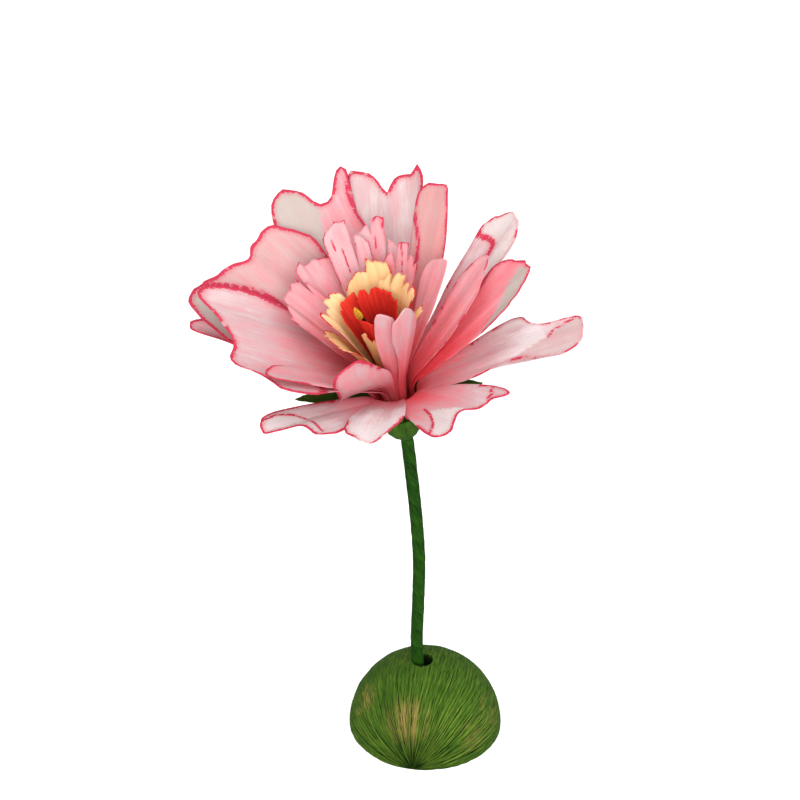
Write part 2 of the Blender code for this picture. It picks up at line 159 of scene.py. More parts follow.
def gridUv(u, v, poles=0):
    # UV of a grid's points, and then of the points that close its ends
    uv = np.stack(np.broadcast_arrays(u, v), -1).reshape(-1, 2)
    return np.vstack([uv, np.zeros((poles, 2))])


def meshObject(name, points, quads, finish, attributes=None, uv=None, tris=None):
    # points and faces as whole arrays, smooth faces, one value per vertex for each attribute
    mesh = bpy.data.meshes.new(name)
    points = np.asarray(points, np.float32).reshape(-1, 3)
    quads = np.asarray(quads, np.int32).reshape(-1, 4)
    tris = np.zeros((0, 3), np.int32) if tris is None else np.asarray(tris, np.int32).reshape(-1, 3)
    corners = np.concatenate([quads.ravel(), tris.ravel()])
    starts = np.concatenate([np.arange(len(quads)) * 4, len(quads) * 4 + np.arange(len(tris)) * 3])
    totals = np.concatenate([np.full(len(quads), 4), np.full(len(tris), 3)])
    mesh.vertices.add(len(points))
    mesh.vertices.foreach_set("co", points.ravel())
    mesh.loops.add(len(corners))
    mesh.loops.foreach_set("vertex_index", corners.astype(np.int32))
    mesh.polygons.add(len(starts))
    mesh.polygons.foreach_set("loop_start", starts.astype(np.int32))
    mesh.polygons.foreach_set("loop_total", totals.astype(np.int32))
    mesh.update(calc_edges=True)
    mesh.validate()
    mesh.polygons.foreach_set("use_smooth", np.ones(len(mesh.polygons), bool))
    for key, values in (attributes or {}).items():
        layer = mesh.attributes.new(key, "FLOAT", "POINT")
        layer.data.foreach_set("value", np.asarray(values, np.float32).ravel())
    if uv is not None:
        index = np.zeros(len(mesh.loops), np.int32)
        mesh.loops.foreach_get("vertex_index", index)
        layer = mesh.uv_layers.new(name="sheet")
        layer.data.foreach_set("uv", np.asarray(uv, np.float32).reshape(-1, 2)[index].ravel())
    mesh.materials.append(finish)
    thing = bpy.data.objects.new(name, mesh)
    bpy.context.scene.collection.objects.link(thing)
    return thing


# sheets of the flower

plainSheet = {
    "cut": None,       # the flat cut line, (across, along) in mm, from one side of the foot to the other
    "round": 0.22,     # without a cut line: how much shorter the sheet is at its corners
    "footHalf": 2.2,   # mm, half width at the foot
    "spread": 50,      # half angle that the sheet may fill round the wire, degrees
    "ragged": 0.35,    # mm
    "ripple": 9,       # degrees of the rim's waves
    "ripples": 2.0,
    "flute": 9,        # degrees of the small lengthwise folds
    "cup": 0,          # degrees that both side edges turn inwards
    "crease": 0,       # degrees of a fold along the midrib
    "twist": 0,        # degrees that the whole section turns about the midrib
    "warp": 0,         # degrees more lean on the positive side, less on the other
    "curl": 0,         # degrees more lean at the very tip
    "curlFrom": 0.8,
    "sweep": 0,        # degrees that the midrib swings round
    "tabs": 0,         # number of tabs that the end is slit into
    "slit": 0,         # mm
    "tabStep": 0.4,    # how unequal the tabs are
    "tabLean": 0,      # degrees that the tabs lean apart
    "tint": 0.25,      # 0 pale, 1 deep
    "deep": 0.75,      # added to the tint at the foot
    "foot": 44,        # mm that the deep foot reaches
    "grey": 0.0,       # share of grey: unpainted paper, and on some sheets painted shade
    "rim": 1.5,        # mm of painted rim
    "rimFrom": 0.45,   # where the side edges' paint starts
    "rimPaint": 1.0,   # share of the edge that is painted
    "strokes": (),     # painted folds: lines of (across, along) points in mm, a width in mm first
    "patches": (),     # areas of another tint: (change of tint, grey, points)
    "rows": 56,
    "columns": 61,
    "seed": 1,
}


def tabPlace(p, across):
    # how far across the tabs each place lies, 0 to the number of tabs, unevenly spread
    x = across / p["halfWidth"]
    return 0.5 * p["tabs"] * (x + 1.0) + 0.22 * wander(x, p["seed"] + 7, 1, 3)


def cutLine(p):
    # a smooth line through the cut points, evenly dense where the sheet is free. A sheet with no
    # points of its own swells from its foot and ends in a rounded line. Tabs are slit into the end.
    length, half = p["length"], p["halfWidth"]
    if p["cut"] is None:
        s = np.linspace(0.04, 1.0 - p["round"], 7)
        swell = np.sin(0.5 * np.pi * np.clip(s / flower["widestAt"], 0, 1))
        w = half * (flower["footShare"] + (1 - flower["footShare"]) * swell)
        t = np.linspace(-0.9, 0.9, 9)
        points = np.concatenate([
            np.stack([-w, s * length], -1),
            np.stack([t * half, length * (1 - p["round"] * np.abs(t) ** 2.6)], -1),
            np.stack([w, s * length], -1)[::-1],
        ])
    else:
        points = np.array(p["cut"], float)
    points = np.vstack([[-p["footHalf"], 0.0], points, [p["footHalf"], 0.0]])
    dense = np.stack([through(points[:, k], np.linspace(-1, 1, 1601)) for k in (0, 1)], -1)
    weight = 0.25 + 0.5 * (dense[1:, 1] + dense[:-1, 1]) / length
    step = np.linalg.norm(np.diff(dense, axis=0), axis=1) * weight
    way = np.concatenate([[0.0], np.cumsum(step)])
    v = np.linspace(0, 1, p["columns"])
    line = np.stack([np.interp(v * way[-1], way, dense[:, k]) for k in (0, 1)], -1)
    x = 2 * v - 1
    end = ease((line[:, 1] / length - 0.45) / 0.25)
    reach = 1.0 + end * (p["ragged"] / length) * wander(x, p["seed"] + 3, 9, 26)
    if p["tabs"]:
        place = tabPlace(p, line[:, 0])
        slit = np.abs(2.0 * (place - np.floor(place)) - 1.0) ** 14
        number = np.clip(np.floor(place), 0, p["tabs"] - 1).astype(int)
        unequal = np.random.default_rng(p["seed"] + 11).uniform(0, 1, p["tabs"])[number]
        reach = reach - end * p["slit"] / length * (slit + p["tabStep"] * (1.0 - slit) * unequal)
    return line * reach[:, None] * mm


def sheetLattice(p, line):
    # the sheet's surface on an even lattice of ways along (rows) and across (columns).
    # The lean from the flower's axis grows in smooth steps, and its sine and cosine are summed to
    # a radius and a height. Across, the angle of the section is summed to a way round the axis and
    # a push off the surface, drawn together where the foot leaves no room for the whole width.
    length = p["length"] * mm
    along = np.arange(0.0, line[:, 1].max() + 2 * mm, flower["latticeStep"] * mm)
    wide = np.abs(line[:, 0]).max() + 2 * mm
    across = np.linspace(-wide, wide, 2 * int(wide / (flower["latticeStep"] * mm)) + 1)
    s, a = along[:, None], across[None, :]
    part = s / length
    start = flower["bendStart"] * mm + (flower["layers"] - p["layer"]) * pitch
    firstBend = ease((s - start) / (flower["bendLength"] * mm))
    tipBend = ease((part - flower["tipBendFrom"]) / (1 - flower["tipBendFrom"]))
    lean = flower["firstLean"] + (p["middle"] - flower["firstLean"]) * firstBend
    lean = lean + (p["tip"] - p["middle"]) * tipBend
    lean = lean + p["warp"] * a / (p["halfWidth"] * mm) * ease((part - 0.1) / 0.6)
    lean = lean + p["curl"] * ease((part - p["curlFrom"]) / (1.0 - p["curlFrom"]))
    if p["tabs"]:
        # each tab leans its own way, and the change lies at the slits
        apart = np.random.default_rng(p["seed"] + 17).uniform(-1, 1, p["tabs"])
        knots = (np.arange(p["tabs"])[:, None] + np.array([0.08, 0.92])).ravel()
        own = np.interp(tabPlace(p, across / mm), knots, np.repeat(apart, 2))[None, :]
        lean = lean + p["tabLean"] * own * ease((part - 1.0 + (p["slit"] + 6.0) / p["length"]) / 0.12)
    lean = np.radians(lean)
    step = along[1] - along[0]
    middleLean = 0.5 * (lean[1:] + lean[:-1])
    zero = np.zeros((1, len(across)))
    base = (flower["wireRadius"] + flower["clearance"] + 0.5 * flower["paper"]) * mm + p["layer"] * pitch
    radius = base + np.concatenate([zero, np.cumsum(np.sin(middleLean), axis=0) * step])
    height = np.concatenate([zero, np.cumsum(np.cos(middleLean), axis=0) * step])
    centre = len(across) // 2

    # where the cut line's two sides lie at each way along
    nearEnd = line[:, 1] > 0.93 * line[:, 1].max()
    first, last = int(np.argmax(nearEnd)), len(line) - 1 - int(np.argmax(nearEnd[::-1]))
    low = np.interp(along, np.maximum.accumulate(line[: first + 1, 1]), line[: first + 1, 0])[:, None]
    high = np.interp(along, np.maximum.accumulate(line[last:, 1][::-1]), line[last:, 0][::-1])[:, None]
    half = np.maximum(np.maximum(-low, high), 1 * mm)
    allowed = math.radians(p["spread"]) * radius[:, centre : centre + 1]
    drawn = (1.0 + (half / allowed) ** 4.0) ** -0.25

    free = ease((part - flower["freeFrom"]) / flower["freeOver"])
    x = a / (p["halfWidth"] * mm)
    angle = p["ripple"] * free * np.cos(np.pi * p["ripples"] * x)
    angle = angle + p["flute"] * (0.35 + 0.65 * free) * 0.6 * wander(0.6 * x, p["seed"], 4, 10)
    angle = angle + p["flute"] * ease((part - 0.55) / 0.4) * 0.5 * wander(0.6 * x, p["seed"] + 1, 7, 18)
    angle = angle - p["cup"] * free * np.clip(x, -1.5, 1.5) - p["crease"] * free * np.tanh(x / 0.1)
    angle = np.radians(angle + p["twist"] * free)
    gap = (across[1] - across[0]) * drawn
    aside = np.cumsum(np.cos(angle) * gap, axis=1)
    push = np.cumsum(np.sin(angle) * gap, axis=1)
    aside = aside - aside[:, centre : centre + 1]
    push = push - push[:, centre : centre + 1]

    turn = math.radians(p["azimuth"]) + aside / radius + math.radians(p["sweep"]) * part**2
    outward = np.cos(turn)[..., None] * side + np.sin(turn)[..., None] * back
    normal = np.cos(lean)[..., None] * outward - np.sin(lean)[..., None] * axis
    points = seat + height[..., None] * axis + radius[..., None] * outward + push[..., None] * normal
    return along, across, points


def toLine(flat, points):
    # distance of every flat point from a line through points
    near = np.full(flat.shape[:2], 1.0)
    for start, step in zip(points[:-1], np.diff(points, axis=0)):
        square = max(float(np.sum(step**2)), 1e-12)
        share = np.clip(np.sum((flat - start) * step, -1) / square, 0, 1)
        near = np.minimum(near, np.linalg.norm(flat - start - share[..., None] * step, axis=-1))
    return near


def within(flat, points):
    # 1 inside a closed line, 0 outside, with a soft border half a millimetre wide
    crossed = np.zeros(flat.shape[:2], bool)
    for a, b in zip(points, np.roll(points, -1, axis=0)):
        spans = (a[1] > flat[..., 1]) != (b[1] > flat[..., 1])
        rise = b[1] - a[1] if abs(b[1] - a[1]) > 1e-9 else 1e-9
        at = a[0] + (flat[..., 1] - a[1]) * (b[0] - a[0]) / rise
        crossed = crossed ^ (spans & (flat[..., 0] < at))
    distance = toLine(flat, np.vstack([points, points[:1]]))
    return ease(0.5 + np.where(crossed, 0.5, -0.5) * distance / (0.5 * mm))


def readLattice(along, across, points, s, a):
    # straight-line reading between the four lattice points round each place
    i = np.clip(s / (along[1] - along[0]), 0, len(along) - 1.001)
    j = np.clip((a - across[0]) / (across[1] - across[0]), 0, len(across) - 1.001)
    i0, j0 = i.astype(int), j.astype(int)
    fi, fj = (i - i0)[..., None], (j - j0)[..., None]
    return (
        points[i0, j0] * (1 - fi) * (1 - fj) + points[i0 + 1, j0] * fi * (1 - fj)
        + points[i0, j0 + 1] * (1 - fi) * fj + points[i0 + 1, j0 + 1] * fi * fj
    )


def sheetSurface(p):
    # lines run from the foot to every point of the cut line, and are laid on the lattice. The tint
    # is the sheet's own, plus a bell of the distance from the foot, plus the patches' changes.
    line = cutLine(p)
    u = np.linspace(0.0, 1.0, p["rows"])[:, None, None]
    footLine = np.stack([np.linspace(-1, 1, len(line)) * p["footHalf"] * mm, np.zeros(len(line))], -1)[None]
    flat = footLine * (1 - u) + line[None] * u
    points = readLattice(*sheetLattice(p, line), flat[..., 1], flat[..., 0])
    painted = line[line[:, 1] > p["rimFrom"] * p["length"] * mm]
    toEdge = toLine(flat, painted) / (p["rim"] * mm) if p["rim"] else np.full(flat.shape[:2], 9.0)
    strength = np.full(flat.shape[:2], float(p["rimPaint"]))
    for wide, *stroke in p["strokes"]:
        toStroke = toLine(flat, np.array(stroke) * mm) / (0.5 * wide * mm)
        strength = np.where(toStroke < 1.5, 1.0, strength)
        toEdge = np.minimum(toEdge, toStroke)
    tint = p["tint"] + p["deep"] * np.exp(-((flat[..., 1] / (p["foot"] * mm)) ** 2))
    # grey share: unpainted paper, and on some sheets painted shade
    grey = np.full(flat.shape[:2], float(p["grey"])) * ease((flat[..., 1] / (p["length"] * mm) - 0.35) / 0.3)
    for change, unpaintedAndShade, *border in p["patches"]:
        inside = within(flat, np.array(border) * mm)
        tint = tint + change * inside
        grey = grey * (1 - inside) + unpaintedAndShade * inside
    return points, flat, np.clip(toEdge, 0, 9), strength, tint, grey


def gridNormals(points):
    return unit(np.cross(np.gradient(points, axis=1), np.gradient(points, axis=0)))


def makeSheet(name, values, finish):
    # a closed thin sheet: the surface moved half its thickness each way, with a rim between
    p = {**plainSheet, **values}
    middle, flat, inRim, strength, tint, grey = sheetSurface(p)
    rows, columns = middle.shape[:2]
    count = rows * columns
    offset = 0.5 * flower["paper"] * mm * gridNormals(middle)
    points = np.concatenate([(middle + offset).reshape(-1, 3), (middle - offset).reshape(-1, 3)])
    rim = np.concatenate([
        np.arange(columns),
        np.arange(1, rows) * columns + columns - 1,
        (rows - 1) * columns + np.arange(columns - 2, -1, -1),
        np.arange(rows - 2, 0, -1) * columns,
    ])
    after = np.roll(rim, -1)
    sides = np.stack([after, rim, rim + count, after + count], -1)
    quads = np.concatenate([
        gridFaces(rows, columns),
        gridFaces(rows, columns, True) + count,
        sides,
    ])
    twice = lambda a: np.concatenate([np.asarray(a).ravel()] * 2)
    attributes = {
        "shade": twice(tint),
        "inRim": twice(inRim),
        "rimPaint": twice(strength),
        "grey": twice(grey),
    }
    uv = np.stack([twice(flat[..., 0] + p["seed"] * 0.137), twice(flat[..., 1])], -1)
    thing = meshObject(name + "_sheet", points, quads, finish, attributes, uv)
    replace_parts(thing, name)
    return thing


# shader helpers

def add(tree, kind, **values):
    node = tree.nodes.new(kind)
    for key, value in values.items():
        setattr(node, key, value)
    return node


def mathNode(tree, operation, a, b=None):
    node = add(tree, "ShaderNodeMath", operation=operation)
    for socket, value in zip(node.inputs, (a, b)):
        if value is None:
            continue
        if isinstance(value, (int, float)):
            socket.default_value = value
        else:
            tree.links.new(value, socket)
    return node.outputs[0]


def mixColour(tree, factor, a, b, blend="MIX"):
    node = add(tree, "ShaderNodeMix", data_type="RGBA", blend_type=blend)
    for socket, value in ((node.inputs[0], factor), (node.inputs[6], a), (node.inputs[7], b)):
        if isinstance(value, (int, float, tuple)):
            socket.default_value = value
        else:
            tree.links.new(value, socket)
    return node.outputs[2]


def mapRange(tree, value, low, high, outLow=0.0, outHigh=1.0):
    node = add(tree, "ShaderNodeMapRange", interpolation_type="SMOOTHSTEP")
    tree.links.new(value, node.inputs[0])
    for socket, number in zip(node.inputs[1:5], (low, high, outLow, outHigh)):
        socket.default_value = number
    return node.outputs[0]


def weighted(tree, *parts):
    # the sum of each value times its weight
    total = None
    for value, weight in parts:
        term = mathNode(tree, "MULTIPLY", value, weight)
        total = term if total is None else mathNode(tree, "ADD", total, term)
    return total


def attribute(tree, name):
    return add(tree, "ShaderNodeAttribute", attribute_name=name).outputs["Fac"]


def noiseNode(tree, place, scale, detail=2.0, roughness=0.5, dimensions="2D"):
    node = add(tree, "ShaderNodeTexNoise", noise_dimensions=dimensions)
    for key, value in (("Scale", scale), ("Detail", detail), ("Roughness", roughness)):
        node.inputs[key].default_value = value
    tree.links.new(place, node.inputs["Vector"])
    return node.outputs["Fac"]


def centred(tree, value, amount):
    # noise about zero: (value - 0.5) times an amount
    return mathNode(tree, "MULTIPLY", mathNode(tree, "SUBTRACT", value, 0.5), amount)


def newGroup(name, inputs, outputs):
    tree = bpy.data.node_groups.new(name, "ShaderNodeTree")
    for key, kind, value in inputs:
        made = tree.interface.new_socket(key, in_out="INPUT", socket_type=kind)
        made.default_value = value
    for key, kind in outputs:
        tree.interface.new_socket(key, in_out="OUTPUT", socket_type=kind)
    return tree, add(tree, "NodeGroupInput"), add(tree, "NodeGroupOutput")


def useGroup(tree, group, **values):
    node = add(tree, "ShaderNodeGroup", node_tree=group)
    for key, value in values.items():
        socket = node.inputs[key.replace("_", " ")]
        if isinstance(value, (int, float, tuple)):
            socket.default_value = value
        else:
            tree.links.new(value, socket)
    return node


def makeCrepeGrain():
    # crepe: fine wrinkles that run along the sheet, and broader soft bands, on the UV map in metres
    tree, given, put = newGroup(
        "crepeGrain",
        [("Across", "NodeSocketFloat", 1400.0), ("Along", "NodeSocketFloat", 110.0)],
        [("Fine", "NodeSocketFloat"), ("Broad", "NodeSocketFloat"), ("Blotch", "NodeSocketFloat")],
    )
    uv = add(tree, "ShaderNodeUVMap", uv_map="sheet")
    outputs = []
    for across, along, detail in ((1.0, 1.0, 3.0), (0.22, 0.12, 2.0), (0.06, 0.5, 2.0)):
        scale = add(tree, "ShaderNodeCombineXYZ")
        tree.links.new(mathNode(tree, "MULTIPLY", given.outputs["Across"], across), scale.inputs[0])
        tree.links.new(mathNode(tree, "MULTIPLY", given.outputs["Along"], along), scale.inputs[1])
        stretch = add(tree, "ShaderNodeVectorMath", operation="MULTIPLY")
        tree.links.new(uv.outputs[0], stretch.inputs[0])
        tree.links.new(scale.outputs[0], stretch.inputs[1])
        outputs.append(noiseNode(tree, stretch.outputs[0], 1.0, detail, 0.6))
    for socket, value in zip(put.inputs, outputs):
        tree.links.new(value, socket)
    return tree


def makePaintedRim():
    # brush paint that bleeds in from the cut edge: a mask that is 1 where the attribute inRim plus
    # ragged noise is under about 1, and a fainter halo beyond, times the painted share of the edge
    tree, given, put = newGroup(
        "paintedRim",
        [
            ("Colour", "NodeSocketColor", (1, 1, 1, 1)),
            ("Paint", "NodeSocketColor", (1, 0, 0, 1)),
            ("Ragged", "NodeSocketFloat", 0.9),
        ],
        [("Colour", "NodeSocketColor"), ("Mask", "NodeSocketFloat")],
    )
    uv = add(tree, "ShaderNodeUVMap", uv_map="sheet").outputs[0]
    fine = noiseNode(tree, uv, 900.0, 3.0)
    wide = noiseNode(tree, uv, 120.0)
    shift = mathNode(tree, "MULTIPLY", centred(tree, fine, 1.6), given.outputs["Ragged"])
    reach = mathNode(tree, "ADD", attribute(tree, "inRim"), shift)
    reach = mathNode(tree, "ADD", reach, centred(tree, wide, 1.1))
    mask = mapRange(tree, reach, 0.75, 1.25, 1.0, 0.0)
    halo = mapRange(tree, reach, 0.8, 2.6, 0.35, 0.0)
    # the attribute rimPaint is the share of the edge that is painted: wide noise above 1 less the share
    share = mathNode(tree, "ADD", attribute(tree, "rimPaint"), -0.5)
    spread = mathNode(tree, "ADD", centred(tree, wide, 2.4), share)
    painted = mapRange(tree, spread, -0.15, 0.15, 0.25, 1.0)
    total = mathNode(tree, "MULTIPLY", mathNode(tree, "MAXIMUM", mask, halo), painted)
    colour = mixColour(tree, total, given.outputs["Colour"], given.outputs["Paint"])
    tree.links.new(colour, put.inputs["Colour"])
    tree.links.new(total, put.inputs["Mask"])
    return tree


crepeGrain = makeCrepeGrain()
paintedRim = makePaintedRim()


def ramp(tree, value, stops):
    node = add(tree, "ShaderNodeValToRGB")
    elements = node.color_ramp.elements
    while len(elements) < len(stops):
        elements.new(0.5)
    for element, (place, colour) in zip(elements, stops):
        element.position = place
        element.color = colour
    tree.links.new(value, node.inputs[0])
    return node.outputs[0]


def newFinish(name):
    finish = bpy.data.materials.new(name)
    finish.use_nodes = True
    return finish, finish.node_tree


def paperShader(finish, colour, height, bump, glow=0.0, glowColour=None, roughness=0.85, specular=0.15):
    # paper: a matte face, and for a share, the glow, light that comes through from behind
    tree = finish.node_tree
    shader, output = tree.nodes["Principled BSDF"], tree.nodes["Material Output"]
    tree.links.new(colour, shader.inputs["Base Color"])
    shader.inputs["Roughness"].default_value = roughness
    shader.inputs["Specular IOR Level"].default_value = specular
    relief = add(tree, "ShaderNodeBump")
    relief.inputs["Strength"].default_value = 1.0
    relief.inputs["Distance"].default_value = bump
    tree.links.new(height, relief.inputs["Height"])
    tree.links.new(relief.outputs[0], shader.inputs["Normal"])
    if not glow:
        return
    thin = add(tree, "ShaderNodeBsdfTranslucent")
    tree.links.new(glowColour, thin.inputs["Color"])
    tree.links.new(relief.outputs[0], thin.inputs["Normal"])
    both = add(tree, "ShaderNodeMixShader")
    both.inputs[0].default_value = glow
    tree.links.new(shader.outputs[0], both.inputs[1])
    tree.links.new(thin.outputs[0], both.inputs[2])
    tree.links.new(both.outputs[0], output.inputs["Surface"])


petalPaint = {
    "white": srgb(230, 220, 220),
    "pale": srgb(220, 190, 193),
    "blush": srgb(234, 160, 168),
    "coral": srgb(240, 120, 131),
    "deep": srgb(242, 88, 98),
    # grey paper colour: unpainted paper, and on some sheets painted shade
    "unpaintedAndShade": srgb(200, 190, 182),
    "rim": srgb(212, 68, 96),
    "glow": 0.5,
    "glowGamma": 1.25,
    "bump": 0.3 * mm,
    "grain": {"Across": 1500.0, "Along": 120.0},
    "uneven": {"Fine": 0.2, "Broad": 0.3, "Blotch": 0.34},
}


def makePetalFinish():
    # the depth of the paint is the sheet's tint plus grain, streaks and blotches, and picks the
    # colour from a ramp; light that comes through is the same colour, more saturated
    finish, tree = newFinish("petal_paper")
    grain = useGroup(tree, crepeGrain, **petalPaint["grain"])
    depth = attribute(tree, "shade")
    for band, amount in petalPaint["uneven"].items():
        depth = mathNode(tree, "ADD", depth, centred(tree, grain.outputs[band], amount))
    colour = ramp(tree, depth, [
        (0.0, petalPaint["white"]),
        (0.2, petalPaint["pale"]),
        (0.45, petalPaint["blush"]),
        (0.72, petalPaint["coral"]),
        (1.0, petalPaint["deep"]),
    ])
    # the grey share mixes in unpainted paper, and on some sheets painted shade
    colour = mixColour(tree, attribute(tree, "grey"), colour, petalPaint["unpaintedAndShade"])
    rim = useGroup(tree, paintedRim, Colour=colour, Paint=petalPaint["rim"], Ragged=0.9)
    painted = rim.outputs["Colour"]
    deeper = add(tree, "ShaderNodeGamma")
    tree.links.new(painted, deeper.inputs[0])
    deeper.inputs[1].default_value = petalPaint["glowGamma"]
    paperShader(
        finish, painted, grain.outputs["Fine"], petalPaint["bump"], petalPaint["glow"], deeper.outputs[0],
    )
    return finish


stripPaint = {
    "redLight": srgb(226, 92, 60),
    "red": srgb(210, 44, 34),
    "redDeep": srgb(160, 8, 14),
    "creamLight": srgb(238, 214, 166),
    "cream": srgb(228, 188, 130),
    "creamDeep": srgb(218, 146, 62),
    "speck": srgb(205, 30, 50),
    "redGlow": 0.35,
    "creamGlow": 0.42,
    "bump": 0.25 * mm,
}


def makeStripFinish(name, stops, speck, glow):
    # the sheet's tint plus grain picks the colour from the stops, and specks lie along the cut end
    finish, tree = newFinish(name)
    grain = useGroup(tree, crepeGrain, Across=1500.0, Along=140.0)
    depth = mathNode(tree, "ADD", attribute(tree, "shade"), centred(tree, grain.outputs["Broad"], 0.6))
    depth = mathNode(tree, "ADD", depth, centred(tree, grain.outputs["Fine"], 0.3))
    colour = ramp(tree, depth, stops)
    painted = useGroup(tree, paintedRim, Colour=colour, Paint=speck, Ragged=1.6).outputs["Colour"]
    paperShader(finish, painted, grain.outputs["Fine"], stripPaint["bump"], glow, painted)
    return finish


petalFinish = makePetalFinish()
redFinish = makeStripFinish(
    "red_strip_paper",
    [(0.0, stripPaint["redLight"]), (0.45, stripPaint["red"]), (1.0, stripPaint["redDeep"])],
    stripPaint["redDeep"], stripPaint["redGlow"],
)
creamFinish = makeStripFinish(
    "cream_strip_paper",
    [(0.0, stripPaint["creamLight"]), (0.45, stripPaint["cream"]), (1.0, stripPaint["creamDeep"])],
    stripPaint["speck"], stripPaint["creamGlow"],
)
print("petal finishes ready")


# the rings of sheets

def row(layer, azimuth, length, halfWidth, middle, tip, kind=None, **more):
    # one sheet: its layer from the wire, its way round the flower (0 right, 90 back, 270 to the
    # viewer), its length and half width in mm, and its leans from the axis; then the values of its
    # kind, and its own
    return {
        "layer": layer, "azimuth": azimuth, "length": length, "halfWidth": halfWidth,
        "middle": middle, "tip": tip, **(kind or {}), **more,
    }


redCut = {
    "tabs": 3, "slit": 5, "tabStep": 0.5, "round": 0.04, "ragged": 0.7, "rim": 0.0, "tint": 0.3, "foot": 50,
    "deep": 0.7, "rows": 40, "columns": 61, "ripple": 6, "flute": 14, "spread": 39,
}
redRing = {
    "red_strip_right": row(0, 15, 68, 10, 5, 14, redCut, seed=11),
    "red_strip_back": row(0, 87, 70, 13, 8, 18, redCut, spread=44, sweep=8, seed=12),
    "red_strip_left": row(0, 159, 70, 12, 12, 20, redCut, sweep=-6, seed=13),
    "red_strip_front_left": row(0, 238, 68, 9, 5, 9, redCut, seed=14),
    "red_strip_front": row(0, 303, 62, 9, 4, 8, redCut, seed=15),
}
creamCut = {
    "tabs": 4, "slit": 10, "tabStep": 0.8, "tabLean": 9, "round": 0.08, "ragged": 0.8, "rim": 0.45,
    "rimFrom": 0.8,
    "rimPaint": 0.45, "tint": 0.2, "foot": 50, "deep": 0.8, "rows": 44, "columns": 101, "ripple": 6,
    "flute": 12,
    "curl": 34, "curlFrom": 0.74,
}
creamRing = {
    "cream_strip_right": row(1, 48, 77, 12, 12, 19, creamCut, spread=58, seed=21),
    "cream_strip_left": row(1, 168, 78, 12, 17, 23, creamCut, tint=0.02, spread=58, seed=22),
    "cream_strip_front": row(1, 262, 65, 8, 9, 11, creamCut, curl=0, tabs=3, spread=36, seed=23),
    "cream_strip_back": row(2, 100, 80, 13, 21, 28, creamCut, spread=56, seed=24),
    "cream_strip_front_left": row(2, 218, 72, 12, 21, 25, creamCut, curl=18, spread=38, seed=25),
    "cream_strip_front_right": row(2, 352, 69, 9, 14, 21, creamCut, spread=36, seed=26),
}
tipCut = {
    "tabs": 3, "slit": 24, "tabStep": 0.5, "tabLean": 9, "round": 0.06, "ragged": 0.5, "rim": 0.5,
    "rimFrom": 0.7,
    "rimPaint": 0.45, "tint": 0.27, "deep": 0.72, "foot": 52, "columns": 121, "flute": 12,
}
innerRing = {
    "inner_petal_back_right": row(
        3, 70, 87, 11, 29, 38, tipCut, spread=18, rows=74, seed=31,
        strokes=[(0.9, (0.6, 84), (0, 80), (-1.2, 74), (-1.9, 68))],
    ),
    "inner_petal_back_left": row(
        3, 107, 94, 12, 35, 43, tipCut, tint=0.2, spread=18, rows=74, seed=32,
        strokes=[(0.9, (3.7, 81), (3.7, 75.6), (3.7, 69)), (1.0, (7.5, 86.4), (7.5, 81.5))],
    ),
    "inner_petal_left": row(3, 160, 84, 13, 35, 42, tipCut, spread=28, seed=33),
    "inner_petal_front": row(
        3, 291, 86, 9, 15, 13, spread=24, rim=0, tint=0.22, deep=0.8, foot=50, seed=34,
        cut=[
            (-6, 18), (-9, 44), (-7.5, 66), (-6, 77), (-5, 84), (-2.5, 86), (1, 83), (4, 77), (5, 69),
            (7, 50), (7, 30), (5, 15),
        ],
    ),
    "inner_petal_back": row(
        4, 88, 92, 12, 37, 44, tipCut, tint=0.22, spread=20, rows=74, seed=35,
        strokes=[(0.9, (1.8, 89), (0.9, 91.5), (-1.5, 91), (-1.8, 86)), (0.9, (1.8, 82), (1.8, 77))],
    ),
    "inner_petal_left_high": row(4, 132, 91, 12, 39, 46, tipCut, spread=22, seed=36),
    "inner_petal_front_left": row(
        4, 256, 70, 15, 36, 8, spread=60, rim=1.0, rimFrom=0.72, tint=0.25, warp=-20, twist=-25, deep=0.6,
        foot=34,
        ripple=2, seed=37,
        cut=[
            (-16, 12), (-23, 24), (-22, 36), (-15.5, 48), (-12, 58), (-11.2, 67), (-10, 72), (-8.1, 73.8),
            (-4.5, 72), (-0.9, 69.3), (1.8, 63), (3.6, 56.7), (5.5, 50), (9, 38), (9, 20),
        ],
    ),
    "inner_petal_front_right": row(
        4, 317, 85, 10, 17, 15, spread=32, rim=0, tint=0.25, deep=0.75, foot=46, seed=38,
        cut=[
            (-4, 18), (-6, 40), (-9, 64), (-9.5, 78), (-7, 82), (-3.7, 85), (0, 84), (4, 77), (9, 66),
            (12, 45), (8, 22),
        ],
    ),
    "inner_petal_right": row(
        4, 40, 82, 9, 30, 32, spread=22, rim=0, tint=0.28, deep=0.7, foot=50, seed=39,
        cut=[
            (-8, 20), (-13, 40), (-15, 54), (-12, 68), (-9, 82), (-2, 80), (3, 76), (5, 68), (5, 52),
            (4, 36), (3, 18),
        ],
    ),
    "side_petal_small": row(
        5, 222, 101, 13, 42, 44, spread=40, rim=0.9, rimFrom=0.8, tint=0.3, deep=0.7, seed=40,
        cut=[
            (-6, 20), (-9, 45), (-9, 68), (-7, 84), (-4, 92), (0, 98), (4, 101), (9, 100), (11, 92),
            (12, 80), (13, 70), (9, 60), (2, 50), (-1, 32), (1, 15),
        ],
    ),
}
